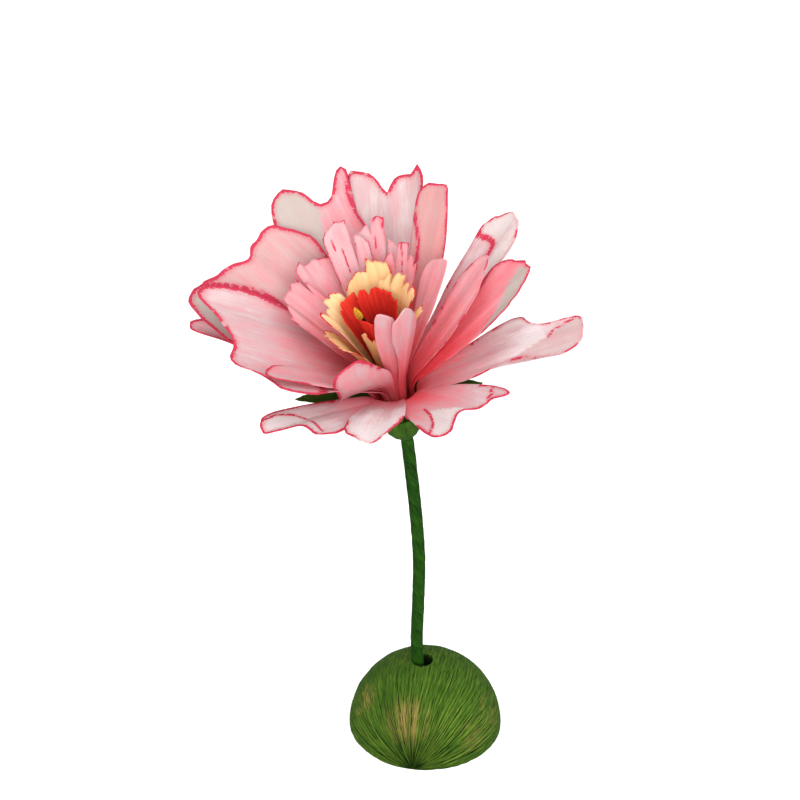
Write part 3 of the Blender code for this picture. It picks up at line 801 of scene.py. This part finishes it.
# sheets with painted strokes need a closer grid, because the strokes are values at its points
strokeGrid = {"rows": 92, "columns": 81}
cup = {
    "cup_petal_left": row(
        6, 200, 116, 38, 44, 47, spread=54, rim=1.6, tint=0.16, deep=0.6, foot=60, seed=41,
        cut=[
            (-12, 22), (-24, 44), (-33, 62), (-37, 80), (-38, 94), (-37, 105), (-34, 113), (-30, 115),
            (-25, 111), (-19, 107), (-12, 103), (-6, 100), (-1, 99), (5, 102), (12, 105), (18, 102),
            (25, 98), (31, 97), (36, 95), (38, 82), (34, 73), (22, 66), (10, 56), (4, 40), (3, 20),
        ],
    ),
    # high tint and grey make this petal darker pink-grey: painted shade, as it lies in shade
    "cup_petal_right_rolled": row(
        6, 57, 108, 10, 38, 39, spread=24, rim=0.9, tint=0.62, grey=0.6, deep=0.6, foot=50, seed=42,
        patches=[(0.05, 0.5, (-12, 60), (-12, 112), (-3, 112), (-4, 60))],
        cut=[
            (-7, 25), (-10, 50), (-10, 75), (-8, 89), (-5, 102), (-3, 108), (3, 107), (8, 106), (11, 100),
            (10, 92), (6, 82), (4, 70), (5, 50), (4, 25),
        ],
    ),
    # raised tint and grey: partly greyish paper, partly painted shade on a petal that faces the lamps
    "cup_petal_left_high": row(
        7, 158, 112, 34, 47, 51, strokeGrid, spread=52, rim=1.6, tint=0.34, grey=0.42, deep=0.6, foot=58,
        ripple=12, seed=43,
        cut=[
            (-14, 25), (-24, 45), (-34, 62), (-42, 80), (-44, 89), (-40, 95), (-33, 104), (-24, 103),
            (-17, 102), (-11, 99), (-3, 104), (6, 107), (13, 111), (16, 111), (13, 104), (8, 97), (4, 89),
            (1, 82), (0, 72), (4, 56), (6, 40), (6, 22),
        ],
        strokes=[(1.7, (14, 110), (7, 101), (2.5, 93), (-0.5, 86), (-1.5, 79), (-1, 72))],
    ),
    "cup_petal_right_inner": row(
        7, 21, 90, 10, 42, 44, spread=30, rim=0.9, rimPaint=0.35, tint=0.24, deep=0.8, foot=52, flute=16,
        seed=44,
        cut=[
            (-6, 20), (-12, 46), (-11, 60), (-7, 76), (-2, 86), (3, 89), (7, 80), (8, 66), (6, 52), (5, 36),
            (4, 18),
        ],
    ),
    "cup_petal_back_left": row(
        8, 113, 117, 20, 49, 53, spread=46, rim=1.4, tint=0.2, grey=0.85, seed=45,
        patches=[(0.12, 0.0, (-4.6, 103), (-15, 114), (-26, 120), (-26, 55), (0, 55), (2, 84), (0, 95))],
        cut=[
            (-7, 25), (-14, 50), (-18, 68), (-19, 84), (-17, 95), (-18, 104), (-21, 112), (-19.5, 116),
            (-15, 113), (-12, 108), (-9, 103), (-5, 101), (-1, 103), (2, 109), (7, 113), (12, 115),
            (17, 113), (20, 109), (22, 101), (20, 80), (15, 55), (8, 25),
        ],
    ),
    "cup_petal_right_low": row(
        8, 13, 98, 12, 50, 53, spread=30, cup=5, rim=1.0, rimFrom=0.68, tint=0.42, deep=0.8, foot=50,
        flute=14,
        ragged=0.6, seed=46,
        patches=[
            (-0.2, 0.9, (1.8, 92.7), (-0.9, 95.4), (-6.4, 99), (-12, 92), (-17, 82), (-21, 70), (-17, 66),
             (-13.5, 72), (-7.3, 78.3), (-0.9, 86)),
        ],
        cut=[
            (-8, 22), (-15, 45), (-18, 60), (-18.5, 70), (-15.5, 82), (-9.5, 91), (-6, 96.5), (-1, 98),
            (3, 96), (8, 92), (12, 87), (13, 81), (10, 74), (7, 58), (5, 40), (4, 20),
        ],
    ),
    # grey: partly greyish paper, partly painted shade on a petal that faces the lamps
    "cup_petal_back": row(
        9, 89, 113, 22, 51, 53, spread=40, rim=1.4, tint=0.17, grey=0.2, seed=47,
        cut=[
            (-8, 25), (-15, 50), (-19, 76), (-19, 88), (-22, 102), (-23, 107), (-20, 113), (-16, 108),
            (-11, 108), (-7, 104), (-4, 100), (0, 106), (4, 110), (9, 112), (14, 111), (16, 103), (14, 95),
            (11, 88), (7.5, 80), (5, 68), (5, 50), (5, 25),
        ],
    ),
    "cup_petal_left_outer": row(
        10, 168, 110, 19, 55, 58, spread=48, rim=1.6, tint=0.12, grey=0.9, seed=48,
        cut=[
            (-8, 22), (-17, 45), (-22, 68), (-20, 90), (-14, 104), (-7, 109), (1, 110), (5, 106), (8, 102),
            (11, 97), (16, 86), (18, 68), (14, 45), (8, 22),
        ],
    ),
    "cup_petal_right_long": row(
        10, 38, 104, 12, 54, 57, strokeGrid, spread=28, cup=4, rim=1.0, rimPaint=0.4, tint=0.13, deep=0.7,
        flute=14, seed=49,
        strokes=[(2.6, (11.5, 90), (10.3, 88.2), (7.5, 87.3), (4.7, 88.2), (1.9, 88.2), (0, 87.3),
        (-0.9, 84.6),
                  (-0.9, 80))],
        patches=[
            (-0.14, 0.3, (12, 90), (10, 99), (2.8, 106), (-8, 104), (-14, 92), (-11, 83.7), (-8.5, 76.5),
             (-4.7, 76.5), (-0.9, 81.9), (0, 87.3), (1.9, 88.2), (7.5, 87.3)),
        ],
        cut=[
            (-6, 22), (-10, 46), (-9, 72), (-10, 90), (-8, 98), (-4, 103), (2, 104), (7, 99), (11, 92),
            (10, 80), (9, 63), (7, 46), (5, 22),
        ],
    ),
}
outerRing = {
    "outer_petal_front": row(
        10, 264, 82, 15, 53, 64, spread=44, rimFrom=0.72, rim=1.1, rimPaint=0.9, tint=-0.03, deep=0.9,
        foot=36,
        ripple=18, seed=51,
        cut=[(-6, 20), (-10, 42), (-12, 58), (-11, 70), (-4, 79), (3, 82), (9, 76), (14, 62), (12, 42),
        (7, 20)],
    ),
    "outer_petal_front_right": row(
        11, 308, 88, 18, 57, 64, strokeGrid, spread=40, rim=1.2, rimFrom=0.75, tint=0.16, ripple=18,
        flute=14,
        seed=52,
        strokes=[
            (1.1, (-7.5, 47.7), (-9.3, 55.8), (-13.1, 65.7), (-21.5, 79.2)),
            (1.3, (10.3, 79), (13, 80.5), (14.5, 76.5), (19.5, 75)),
        ],
        patches=[
            (-0.25, 0.1, (-8.5, 52), (-4, 62), (0.9, 70.2), (-6, 77), (-19.6, 88), (-25, 86), (-21, 79),
             (-13.1, 65.7), (-9.5, 57)),
        ],
        cut=[
            (-6, 18), (-13, 38), (-19, 58), (-23, 76), (-22, 86), (-16, 84), (-8, 77), (-1, 73), (5, 79),
            (10, 82), (14, 88), (18, 87), (19, 78), (17, 70), (12, 54), (7, 36), (4, 18),
        ],
    ),
    "outer_petal_front_left": row(
        11, 226, 90, 13, 56, 62, strokeGrid, spread=40, rim=1.4, tint=0.0, ripple=16, seed=53,
        strokes=[(1.2, (-4, 84), (-4.6, 78.3), (-1.9, 70.2), (2.8, 65.7), (10.2, 67.5), (17.6, 70.2))],
        patches=[
            (-0.3, 0.1, (-3.7, 86), (-4.6, 78.3), (-1.9, 70.2), (2.8, 65.7), (10.2, 67.5), (17, 70),
            (16, 78),
             (8.3, 80), (6, 92)),
        ],
        cut=[
            (-3, 20), (-5, 40), (-7, 60), (-8, 76), (-5, 86), (3, 91), (6, 83), (8, 74), (14, 74), (20, 74),
            (24, 69), (21, 54), (15, 36), (8, 18),
        ],
    ),
    "outer_petal_back_right": row(11, 85, 84, 18, 59, 66, spread=46, rim=1.2, tint=0.2, ripple=14, seed=54),
    "outer_petal_right": row(
        12, 353, 104, 16, 62, 69, strokeGrid, spread=44, rim=0.9, rimPaint=0.45, tint=-0.04, deep=0.85,
        foot=48,
        flute=14, seed=55,
        strokes=[(1.5, (-1.8, 87.3), (1.8, 89.1), (3.7, 94.5), (5.5, 99.9))],
        patches=[
            (0.22, 0.3, (-8.3, 69), (-5.5, 77.4), (-1.8, 87.3), (3.7, 94.5), (6, 101), (-1, 108), (-13, 107),
             (-18, 95), (-15, 80), (-10, 68)),
            (0.12, 0.0, (0, 85), (7.5, 82), (12, 88), (9, 103), (5.5, 100), (3.7, 94.5), (-1.8, 87.3)),
        ],
        cut=[
            (-5, 18), (-9, 32), (-11, 50), (-9, 62), (-8.5, 70), (-12, 82), (-15, 95), (-11, 103), (-1, 104),
            (6, 101), (7, 92), (7.5, 84), (11, 77.5), (15, 75), (17, 69), (15, 62), (12, 52), (9, 38),
            (6, 20),
        ],
    ),
    "outer_petal_left_folded": row(
        12, 173, 103, 8, 60, 62, spread=44, crease=25, rim=0.9, tint=0.3, seed=56,
        cut=[
            (-4, 20), (-7, 45), (-8, 70), (-6, 90), (-5, 99), (-2, 103), (2, 103), (5, 99), (5, 88), (7, 76),
            (7, 50), (4, 22),
        ],
    ),
    "outer_petal_back_left": row(13, 125, 84, 18, 62, 68, spread=50, rim=1.2, tint=0.2, ripple=14, seed=57),
}

for ring, finish, slot in (
    (redRing, redFinish, "petal_red_paper"), (creamRing, creamFinish, "petal_cream_paper"),
    (innerRing, petalFinish, "petal_paper"), (cup, petalFinish, "petal_paper"),
    (outerRing, petalFinish, "petal_paper"),
):
    for name, values in ring.items():
        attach(makeSheet(name, values, finish), "root")
print("petals made")


# green paper: sepals, calyx, stem and foot

leafPaint = {
    "light": srgb(62, 94, 26),
    "dark": srgb(14, 40, 6),
    "bump": 0.3 * mm,
}


def makeLeafFinish():
    # the mean of fine and broad grain picks between dark and light green
    finish, tree = newFinish("leaf_paper")
    grain = useGroup(tree, crepeGrain, Across=1300.0, Along=160.0)
    depth = weighted(tree, (grain.outputs["Fine"], 0.5), (grain.outputs["Broad"], 0.5))
    colour = ramp(tree, depth, [(0.25, leafPaint["dark"]), (0.75, leafPaint["light"])])
    paperShader(finish, colour, grain.outputs["Fine"], leafPaint["bump"], specular=0.06)
    return finish


leafFinish = makeLeafFinish()
sepalCut = {
    "spread": 32, "rim": 0, "rows": 40, "columns": 41, "ripple": 8, "cup": 6,
    "cut": [
        (-4, 8), (-6.5, 18), (-6.5, 28), (-4.5, 38), (-1, 49), (0, 51), (1.5, 48), (4.5, 38), (6.5, 28),
        (6.5, 18), (4, 8),
    ],
}
sepals = {
    "sepal_left": row(14, 200, 51, 7, 64, 66, sepalCut, seed=61),
    "sepal_front": row(14, 266, 36, 7, 62, 66, sepalCut, cut=None, round=0.6, seed=62),
    "sepal_right": row(14, 338, 51, 7, 66, 68, sepalCut, seed=63),
    "sepal_back_right": row(14, 50, 51, 7, 68, 72, sepalCut, seed=64),
    "sepal_back_left": row(14, 130, 51, 7, 70, 74, sepalCut, seed=65),
}
for name, values in sepals.items():
    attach(makeSheet(name, values, leafFinish), "root")

calyx = {
    "height": 19.0,
    "rim": 2.0,
    "neck": 3.15,
    "wall": 1.2,
    "gap": 0.3,        # mm between the outermost sheet and the calyx
    "rows": 60,
    "columns": 120,
    "wrinkles": 0.25,
}


def makeCalyx():
    # a profile of radius and height turned round the flower's axis, with lengthwise wrinkles
    base = flower["wireRadius"] + flower["clearance"]
    inside = base + flower["paper"] + (flower["layers"] - 1) * pitch / mm + calyx["gap"]
    outside = inside + calyx["wall"]
    profile = np.array([
        (base, -calyx["height"]),
        (calyx["neck"], -calyx["height"]),
        (calyx["neck"] + 0.36 * (outside - calyx["neck"]), -0.87 * calyx["height"]),
        (calyx["neck"] + 0.76 * (outside - calyx["neck"]), -0.5 * calyx["height"]),
        (outside, -0.1 * calyx["height"]),
        (outside + 0.1, 0.6 * calyx["rim"]),
        (outside - 0.4, calyx["rim"]),
        (inside, 0.8 * calyx["rim"]),
        (inside, -calyx["gap"]),
        (base, -calyx["gap"]),
    ])
    way = np.concatenate([[0.0], np.cumsum(np.linalg.norm(np.diff(profile, axis=0), axis=1))])
    at = np.linspace(0, way[-1], calyx["rows"])
    radius = np.interp(at, way, profile[:, 0])[:, None] * mm
    height = np.interp(at, way, profile[:, 1])[:, None] * mm
    angle = np.arange(calyx["columns"]) * 2 * np.pi / calyx["columns"]
    wrinkle = wander(angle[None, :] / np.pi - 1 + 0 * radius, 71, 7, 19)
    outer = ease((at / way[-1] - 0.06) / 0.1) * (1 - ease((at / way[-1] - 0.5) / 0.1))
    radius = radius + calyx["wrinkles"] * mm * wrinkle * outer[:, None]
    outward = np.cos(angle)[:, None] * side + np.sin(angle)[:, None] * back
    points = seat + height[..., None] * axis + radius[..., None] * outward[None]
    quads = ringFaces(calyx["rows"], calyx["columns"])
    last = (calyx["rows"] - 1) * calyx["columns"]
    j = np.arange(calyx["columns"])
    k = (j + 1) % calyx["columns"]
    quads = np.concatenate([quads, np.stack([last + j, last + k, k, j], -1)])
    uv = gridUv(angle[None, :] * 6 * mm, at[:, None] * mm)
    return meshObject("calyx_paper", points, quads, leafFinish, None, uv)


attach(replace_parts(makeCalyx(), "calyx_cup"), "root")
print("sepals and calyx made")


def flowerMiddle(height):
    # the wire in the flower swings left as it rises
    height = np.asarray(height, float)[..., None] * mm
    part = height / (flower["wireInFlower"] * mm)
    return seat + height * axis - flower["wireSwing"] * mm * part**2 * side


def tube(path, radius, columns):
    # rings of points round a path, radius given for each ring and column, closed at both ends
    tangent = unit(np.gradient(path, axis=0))
    first = unit(np.cross(tangent, np.array([0.0, 1.0, 0.0])))
    second = np.cross(tangent, first)
    angle = np.arange(columns) * 2 * np.pi / columns
    around = np.cos(angle)[None, :, None] * first[:, None] + np.sin(angle)[None, :, None] * second[:, None]
    rings = path[:, None] + radius[..., None] * around
    points = np.vstack([rings.reshape(-1, 3), path[:1], path[-1:]])
    low = len(path) * columns
    last = low - columns
    j = np.arange(columns)
    k = (j + 1) % columns
    tris = np.concatenate([
        np.stack([k, j, np.full_like(j, low)], -1),
        np.stack([last + j, last + k, np.full_like(j, low + 1)], -1),
    ])
    return points, ringFaces(len(path), columns), tris


pistil = {
    "start": 62.26,     # mm along the flower's axis
    "height": 7.0,
    "radius": 1.75,
    "rows": 30,
    "columns": 40,
    "light": srgb(206, 160, 46),
    "dark": srgb(92, 44, 8),
}


def makePistil():
    # a rolled scrap of crepe on the wire's end: a pointed bud with a few deep lengthwise folds
    t = np.linspace(0, 1, pistil["rows"])
    path = flowerMiddle(pistil["start"] + pistil["height"] * t)
    swell = np.interp(t, [0, 0.06, 0.3, 0.6, 0.88, 1.0], [0.55, 0.8, 0.97, 0.84, 0.5, 0.12])
    angle = np.arange(pistil["columns"]) * 2 * np.pi / pistil["columns"]
    lobes = (0.5 + 0.5 * np.cos(3 * angle[None, :] + 2.5 * t[:, None])) ** 3
    folds = 1.0 - 0.35 * lobes * ease(t[:, None] / 0.2)
    points, quads, tris = tube(path, pistil["radius"] * mm * swell[:, None] * folds, pistil["columns"])
    uv = gridUv(angle[None, :] * 2 * mm, t[:, None] * pistil["height"] * mm, 2)
    finish, tree = newFinish("pistil_paper")
    grain = useGroup(tree, crepeGrain, Across=1500.0, Along=200.0)
    colour = ramp(tree, grain.outputs["Fine"], [(0.25, pistil["dark"]), (0.7, pistil["light"])])
    paperShader(finish, colour, grain.outputs["Fine"], 0.2 * mm)
    return meshObject("pistil_bud", points, quads, finish, None, uv, tris)


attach(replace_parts(makePistil(), "pistil"), "root")
print("pistil made")

stem = {
    "bends": (
        (-3.8, 0.0, 8.0), (-3.8, 0.0, 32.0), (-4.6, 0.0, 50.0), (-4.0, 0.0, 75.0), (-3.7, 0.0, 100.0),
        (-5.2, 0.0, 124.0), (-7.6, 0.6, 148.0),
    ),
    "radius": 3.2,
    "low": 25.3,
    "tapeWidth": 10.5,
    "ridge": 0.11,
    "bumps": 0.06,
    "roughness": 0.7,
    "light": srgb(36, 82, 11),
    "dark": srgb(2, 16, 1),
    "rows": 420,
    "columns": 48,
}


def stemPath(z):
    # a cubic through the bends, ending along the flower's axis
    neck = seat - axis * calyx["height"] * mm
    knots = np.vstack([np.array(stem["bends"]) * mm, neck, seat])
    slope = np.gradient(knots[:, :2], knots[:, 2], axis=0)
    slope[-2:] = axis[:2] / axis[2]
    index = np.clip(np.searchsorted(knots[:, 2], z) - 1, 0, len(knots) - 2)
    span = (knots[index + 1, 2] - knots[index, 2])[:, None]
    t = (z - knots[index, 2])[:, None] / span
    xy = cubic(t, knots[index, :2], knots[index + 1, :2], span * slope[index], span * slope[index + 1])
    return np.column_stack([xy, z])


def makeStemFinish():
    # waxed tape: grain, a little darker where one turn laps over the last
    finish, tree = newFinish("stem_tape_paper")
    grain = useGroup(tree, crepeGrain, Across=900.0, Along=240.0)
    depth = weighted(tree, (grain.outputs["Fine"], 0.5), (grain.outputs["Broad"], 0.4))
    depth = mathNode(tree, "ADD", depth, centred(tree, attribute(tree, "shade"), -0.12))
    colour = ramp(tree, depth, [(0.2, stem["dark"]), (0.8, stem["light"])])
    paperShader(finish, colour, grain.outputs["Fine"], 0.25 * mm, roughness=stem["roughness"], specular=0.06)
    return finish


def makeStem():
    # tape wound round: the radius rises along each turn and steps down at the next
    top = (seat - axis * (calyx["height"] + 0.1) * mm)[2]
    z = np.linspace(stem["low"] * mm, top, stem["rows"])
    path = stemPath(z)
    turn = np.arange(stem["columns"]) / stem["columns"]
    ramped = np.mod(z[:, None] / (stem["tapeWidth"] * mm) + turn[None, :], 1.0)
    edge = ramped - ease((ramped - 0.94) / 0.06)
    bumps = wander(2 * z[:, None] / top - 1 + 0 * turn[None, :], 81, 9, 30)
    radius = (stem["radius"] - stem["ridge"] * edge + stem["bumps"] * bumps) * mm
    points, quads, tris = tube(path, radius, stem["columns"])
    uv = gridUv(turn[None, :] * 19 * mm + z[:, None] * 0.5, z[:, None], 2)
    shade = np.concatenate([edge.ravel(), [0.5, 0.5]])
    return meshObject("stem_tape_wound", points, quads, makeStemFinish(), {"shade": shade}, uv, tris)


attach(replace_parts(makeStem(), "stem_tape"), "root")
print("stem made")

foot = {
    "radius": 40.0,
    "hole": (-1.6, 0.0),
    "holeRadius": 5.5,
    "holeDepth": 13.0,
    "turn": -10.0,
    "pleats": 110,
    "pleatHeight": 0.5,
    "rows": 150,
    "columns": 600,
    "light": srgb(107, 122, 42),
    "green": srgb(54, 86, 20),
    "dark": srgb(8, 24, 3),
    "tan": srgb(148, 122, 68),
    # places, reach in mm and strength of the spots where the dye has worn to tan
    "worn": (
        ((-9.5, -30.0, 23.0), 16.0, 0.8), ((-32.5, -10.0, 21.0), 12.0, 0.8),
        ((33.0, -15.0, 16.0), 13.0, 0.4), ((24.0, -28.0, 12.0), 11.0, 0.4), ((12.0, 28.0, 24.0), 12.0, 0.6),
    ),
    # deep creases that run out from the front pole
    "creases": 40,
    "deepest": 1.05,
    "creaseDepth": 0.3,
}


def makeFootFinish():
    # green dyed crepe: painted shade in the creases and down the hole, painted highlight on the pleat
    # crowns, and worn streaks of tan where the distance to a place is short and the streak noise is high
    finish, tree = newFinish("foot_paper")
    fine = useGroup(tree, crepeGrain, Across=2600.0, Along=170.0)
    coarse = useGroup(tree, crepeGrain, Across=900.0, Along=70.0)
    depth = weighted(tree, (fine.outputs["Fine"], 0.55), (coarse.outputs["Fine"], 0.35))
    # painted shade and highlight: the attribute shade darkens creases, pleat valleys and the hole, and
    # lightens pleat crowns
    depth = mathNode(tree, "ADD", depth, centred(tree, attribute(tree, "shade"), 0.42))
    colour = ramp(tree, depth, [(0.26, foot["dark"]), (0.48, foot["green"]), (0.78, foot["light"])])
    place = add(tree, "ShaderNodeTexCoord").outputs["Object"]
    worn = 0.0
    for spot, reach, worth in foot["worn"]:
        away = add(tree, "ShaderNodeVectorMath", operation="DISTANCE")
        tree.links.new(place, away.inputs[0])
        away.inputs[1].default_value = tuple(x * mm for x in spot)
        near = mapRange(tree, away.outputs["Value"], 0.2 * reach * mm, reach * mm, worth, 0.0)
        worn = mathNode(tree, "MAXIMUM", near, worn)
    streak = mathNode(tree, "ADD", fine.outputs["Fine"], centred(tree, coarse.outputs["Broad"], 0.7))
    mask = mathNode(tree, "MULTIPLY", worn, mapRange(tree, streak, 0.4, 0.72))
    colour = mixColour(tree, mask, colour, foot["tan"])
    height = mathNode(tree, "ADD", fine.outputs["Fine"], coarse.outputs["Fine"])
    paperShader(finish, colour, height, 0.45 * mm, specular=0.08)
    return finish


def footCreases(over, polar):
    # seeded grooves along the meridians: a bell across each one, as wide as 0.3 mm and a share of
    # the angle, that starts at the front pole and runs out at its own reach
    rng = np.random.default_rng(97)
    total = np.zeros(np.broadcast(over, polar).shape)
    for k in range(foot["creases"]):
        at = (k + rng.uniform(0.1, 0.9)) * np.pi / foot["creases"]
        reach = rng.uniform(0.35, 1.2)
        depth = rng.uniform(0.25, 1.0)
        wide = 0.007 + 0.12 / (foot["radius"] * np.sin(polar))
        bend = 0.02 * np.sin(3.0 * polar + rng.uniform(0, 6))
        fade = 1 - ease((polar - 0.5 * reach) / reach)
        total = total + depth * np.exp(-(((over - at - bend) / wide) ** 2)) * fade
    return np.clip(total, 0, 1.2) * np.clip(np.sin(polar) * 9.0, 0, 1)


def makeFootSkin():
    # half ball of meridians from the front pole to the back pole, creased along them, and
    # tucked into the hole at the top: inside its circle the sheet drops down a funnel
    polar = np.linspace(0.012, np.pi - 0.012, foot["rows"])[:, None]
    over = np.linspace(0, np.pi, foot["columns"])[None, :]
    v = 2 * over / np.pi - 1
    drift = 0.5 * wander(v, 91, 3, 12)
    sway = 0.35 * wander(2 * polar / np.pi - 1 + 0.3 * v, 95, 1, 4)
    phase = foot["pleats"] * over + 2.0 * np.pi * (drift + sway)
    strength = 0.3 + 0.9 * wander(v + 0.05 * polar, 92, 9, 34) ** 2
    fade = (0.15 + 0.85 * np.cos(0.5 * polar) ** 6) * np.clip(np.sin(polar) * 5.0, 0, 1)
    pleat = (np.abs(np.sin(0.5 * phase)) ** 0.5 - 0.6) * np.clip(strength, 0, 1.6) * fade
    fineFold = 0.35 * wander(v + 0.03 * np.sin(5 * polar), 94, 60, 120) * fade
    broad = 0.8 * wander(v + 0.1 * np.sin(2 * polar), 93, 4, 12) * fade
    crease = footCreases(over, polar)
    radius = (foot["radius"] - 0.35) * mm + foot["pleatHeight"] * mm * (pleat + broad + fineFold)
    radius = np.maximum(radius - foot["creaseDepth"] * mm * crease, (foot["radius"] - foot["deepest"]) * mm)
    radius = np.minimum(radius, (foot["radius"] + 0.25) * mm)
    turn = math.radians(foot["turn"])
    x = radius * np.sin(polar) * np.cos(over)
    y = -radius * np.cos(polar) * np.ones_like(over)
    z = radius * np.sin(polar) * np.sin(over)
    points = np.stack([x * np.cos(turn) - y * np.sin(turn), x * np.sin(turn) + y * np.cos(turn), z], -1)
    hole = np.array(foot["hole"]) * mm
    away = points[..., :2] - hole
    distance = np.linalg.norm(away, axis=-1)
    inner = foot["holeRadius"] * mm
    near = np.abs(distance - inner) < 0.36 * mm
    snapped = hole + away / distance[..., None] * inner
    points[..., :2] = np.where(near[..., None], snapped, points[..., :2])
    down = np.where(near, 0.0, np.clip((inner - distance) / inner, 0, 1))
    points[..., 2] = points[..., 2] - foot["holeDepth"] * mm * ease(down / 0.3) ** 0.8
    poles = np.array([[0, -1.0], [0, 1.0]]) * (foot["radius"] - 0.5) * mm
    poles = np.stack([-poles[:, 1] * np.sin(turn), poles[:, 1] * np.cos(turn), [0, 0]], -1)
    rows, columns = foot["rows"], foot["columns"]
    quads = gridFaces(rows, columns, True)
    j = np.arange(columns - 1)
    start = rows * columns
    last = (rows - 1) * columns
    tris = np.concatenate([
        np.stack([j, j + 1, np.full_like(j, start)], -1),
        np.stack([last + j + 1, last + j, np.full_like(j, start + 1)], -1),
    ])
    allPoints = np.vstack([points.reshape(-1, 3), poles])
    uv = gridUv(over * foot["radius"] * mm, polar * foot["radius"] * mm, 2)
    inHole = ease((inner - distance) / (0.6 * mm))
    # painted shade and highlight: light on pleat crowns, dark in pleat valleys and creases, darkest down the
    # hole
    shade = np.clip(0.5 + 1.1 * (pleat + 0.5 * fineFold) - 0.85 * crease, -0.45, 1.1)
    shade = shade * (1 - inHole) - 1.2 * inHole
    shade = np.concatenate([shade.ravel(), [0, 0]])
    return meshObject("foot_skin_pleated", allPoints, quads, makeFootFinish(), {"shade": shade}, uv, tris)


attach(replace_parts(makeFootSkin(), "foot_skin"), "root")
print("foot made")

bare = {
    "plaster": (srgb(176, 170, 156), srgb(214, 208, 196)),
    "wire": (srgb(44, 34, 26), srgb(76, 58, 44)),
}


def makeBareFinish(name, colours, scale, roughness, metal):
    # noise on the object's own coordinates picks between two close colours and lifts the surface
    finish, tree = newFinish(name)
    shader = tree.nodes["Principled BSDF"]
    place = add(tree, "ShaderNodeTexCoord").outputs["Object"]
    noise = noiseNode(tree, place, scale, 4.0, dimensions="3D")
    tree.links.new(ramp(tree, noise, [(0.3, colours[0]), (0.7, colours[1])]), shader.inputs["Base Color"])
    relief = add(tree, "ShaderNodeBump")
    relief.inputs["Distance"].default_value = 0.2 * mm
    tree.links.new(noise, relief.inputs["Height"])
    tree.links.new(relief.outputs[0], shader.inputs["Normal"])
    shader.inputs["Roughness"].default_value = roughness
    shader.inputs["Metallic"].default_value = metal
    return finish


bareFinishes = {
    "foot_ball": makeBareFinish("plaster", bare["plaster"], 300.0, 0.9, 0.0),
    "stem_wire": makeBareFinish("steel_wire", bare["wire"], 900.0, 0.45, 0.9),
}
for thing in bpy.data.objects:
    if thing.type == "MESH" and thing.name in bareFinishes:
        thing.data.materials.clear()
        thing.data.materials.append(bareFinishes[thing.name])
print("bare pieces finished")


# floor, light and camera

studio = {
    "white": (1.0, 1.0, 1.0, 1.0),
    "worldLight": 0.92,
    "floorPaint": (0.55, 0.55, 0.55, 1.0),
    "floorLift": 0.6,
    "lamps": (
        # place, size, watts
        ((-0.2, -0.3, 1.25), 0.8, 7.0),
        ((0.1, -1.0, 0.62), 0.9, 4.0),
        ((-0.1, -1.1, 0.26), 0.9, 13.0),
        ((0.75, -0.4, 0.75), 0.7, 4.5),
    ),
    "aim": (0.0, 0.0, 0.17),
    "floorHalf": 3.0,
    "camera": (-0.0132, -0.6765, 0.5293),
    "cameraTilt": 63.3,
    "lens": 72.0,
}


def backgroundNode(tree, strength):
    node = add(tree, "ShaderNodeBackground")
    node.inputs[0].default_value = studio["white"]
    node.inputs[1].default_value = strength
    return node.outputs[0]


def makeWorld():
    # soft light all round, which the camera sees as plain white
    world = bpy.data.worlds.new("studio")
    bpy.context.scene.world = world
    world.use_nodes = True
    tree = world.node_tree
    tree.nodes.clear()
    path = add(tree, "ShaderNodeLightPath")
    either = add(tree, "ShaderNodeMixShader")
    tree.links.new(path.outputs["Is Camera Ray"], either.inputs[0])
    tree.links.new(backgroundNode(tree, studio["worldLight"]), either.inputs[1])
    tree.links.new(backgroundNode(tree, 1.0), either.inputs[2])
    output = add(tree, "ShaderNodeOutputWorld")
    tree.links.new(either.outputs[0], output.inputs[0])


def makeFloor():
    # matte floor, lifted to white for the camera alone
    mesh = bpy.data.meshes.new("floor")
    size = studio["floorHalf"]
    corners = [(-size, -size, 0), (size, -size, 0), (size, size, 0), (-size, size, 0)]
    mesh.from_pydata(corners, [], [(0, 1, 2, 3)])
    floor = bpy.data.objects.new("floor", mesh)
    bpy.context.scene.collection.objects.link(floor)
    finish = bpy.data.materials.new("floor_paint")
    finish.use_nodes = True
    tree = finish.node_tree
    tree.nodes.clear()
    matte = add(tree, "ShaderNodeBsdfDiffuse")
    matte.inputs[0].default_value = studio["floorPaint"]
    lift = add(tree, "ShaderNodeEmission")
    lift.inputs[0].default_value = studio["white"]
    path = add(tree, "ShaderNodeLightPath")
    lifted = mathNode(tree, "MULTIPLY", path.outputs["Is Camera Ray"], studio["floorLift"])
    tree.links.new(lifted, lift.inputs[1])
    both = add(tree, "ShaderNodeAddShader")
    tree.links.new(matte.outputs[0], both.inputs[0])
    tree.links.new(lift.outputs[0], both.inputs[1])
    output = add(tree, "ShaderNodeOutputMaterial")
    tree.links.new(both.outputs[0], output.inputs[0])
    mesh.materials.append(finish)


def makeLamps():
    for index, (place, size, watts) in enumerate(studio["lamps"]):
        data = bpy.data.lights.new("lamp_%d" % index, "AREA")
        data.size = size
        data.energy = watts
        lamp = bpy.data.objects.new("lamp_%d" % index, data)
        bpy.context.scene.collection.objects.link(lamp)
        aim = Vector(studio["aim"]) - Vector(place)
        lamp.location = place
        lamp.rotation_euler = aim.to_track_quat("-Z", "Y").to_euler()


def makeCamera():
    data = bpy.data.cameras.new("photo_view")
    data.lens = studio["lens"]
    data.sensor_width = 36.0
    camera = bpy.data.objects.new("photo_view", data)
    camera.location = studio["camera"]
    camera.rotation_euler = (math.radians(studio["cameraTilt"]), 0.0, 0.0)
    bpy.context.scene.collection.objects.link(camera)
    bpy.context.scene.camera = camera
    bpy.context.scene.view_settings.view_transform = "Standard"


makeWorld()
makeFloor()
makeLamps()
makeCamera()
print("studio ready")
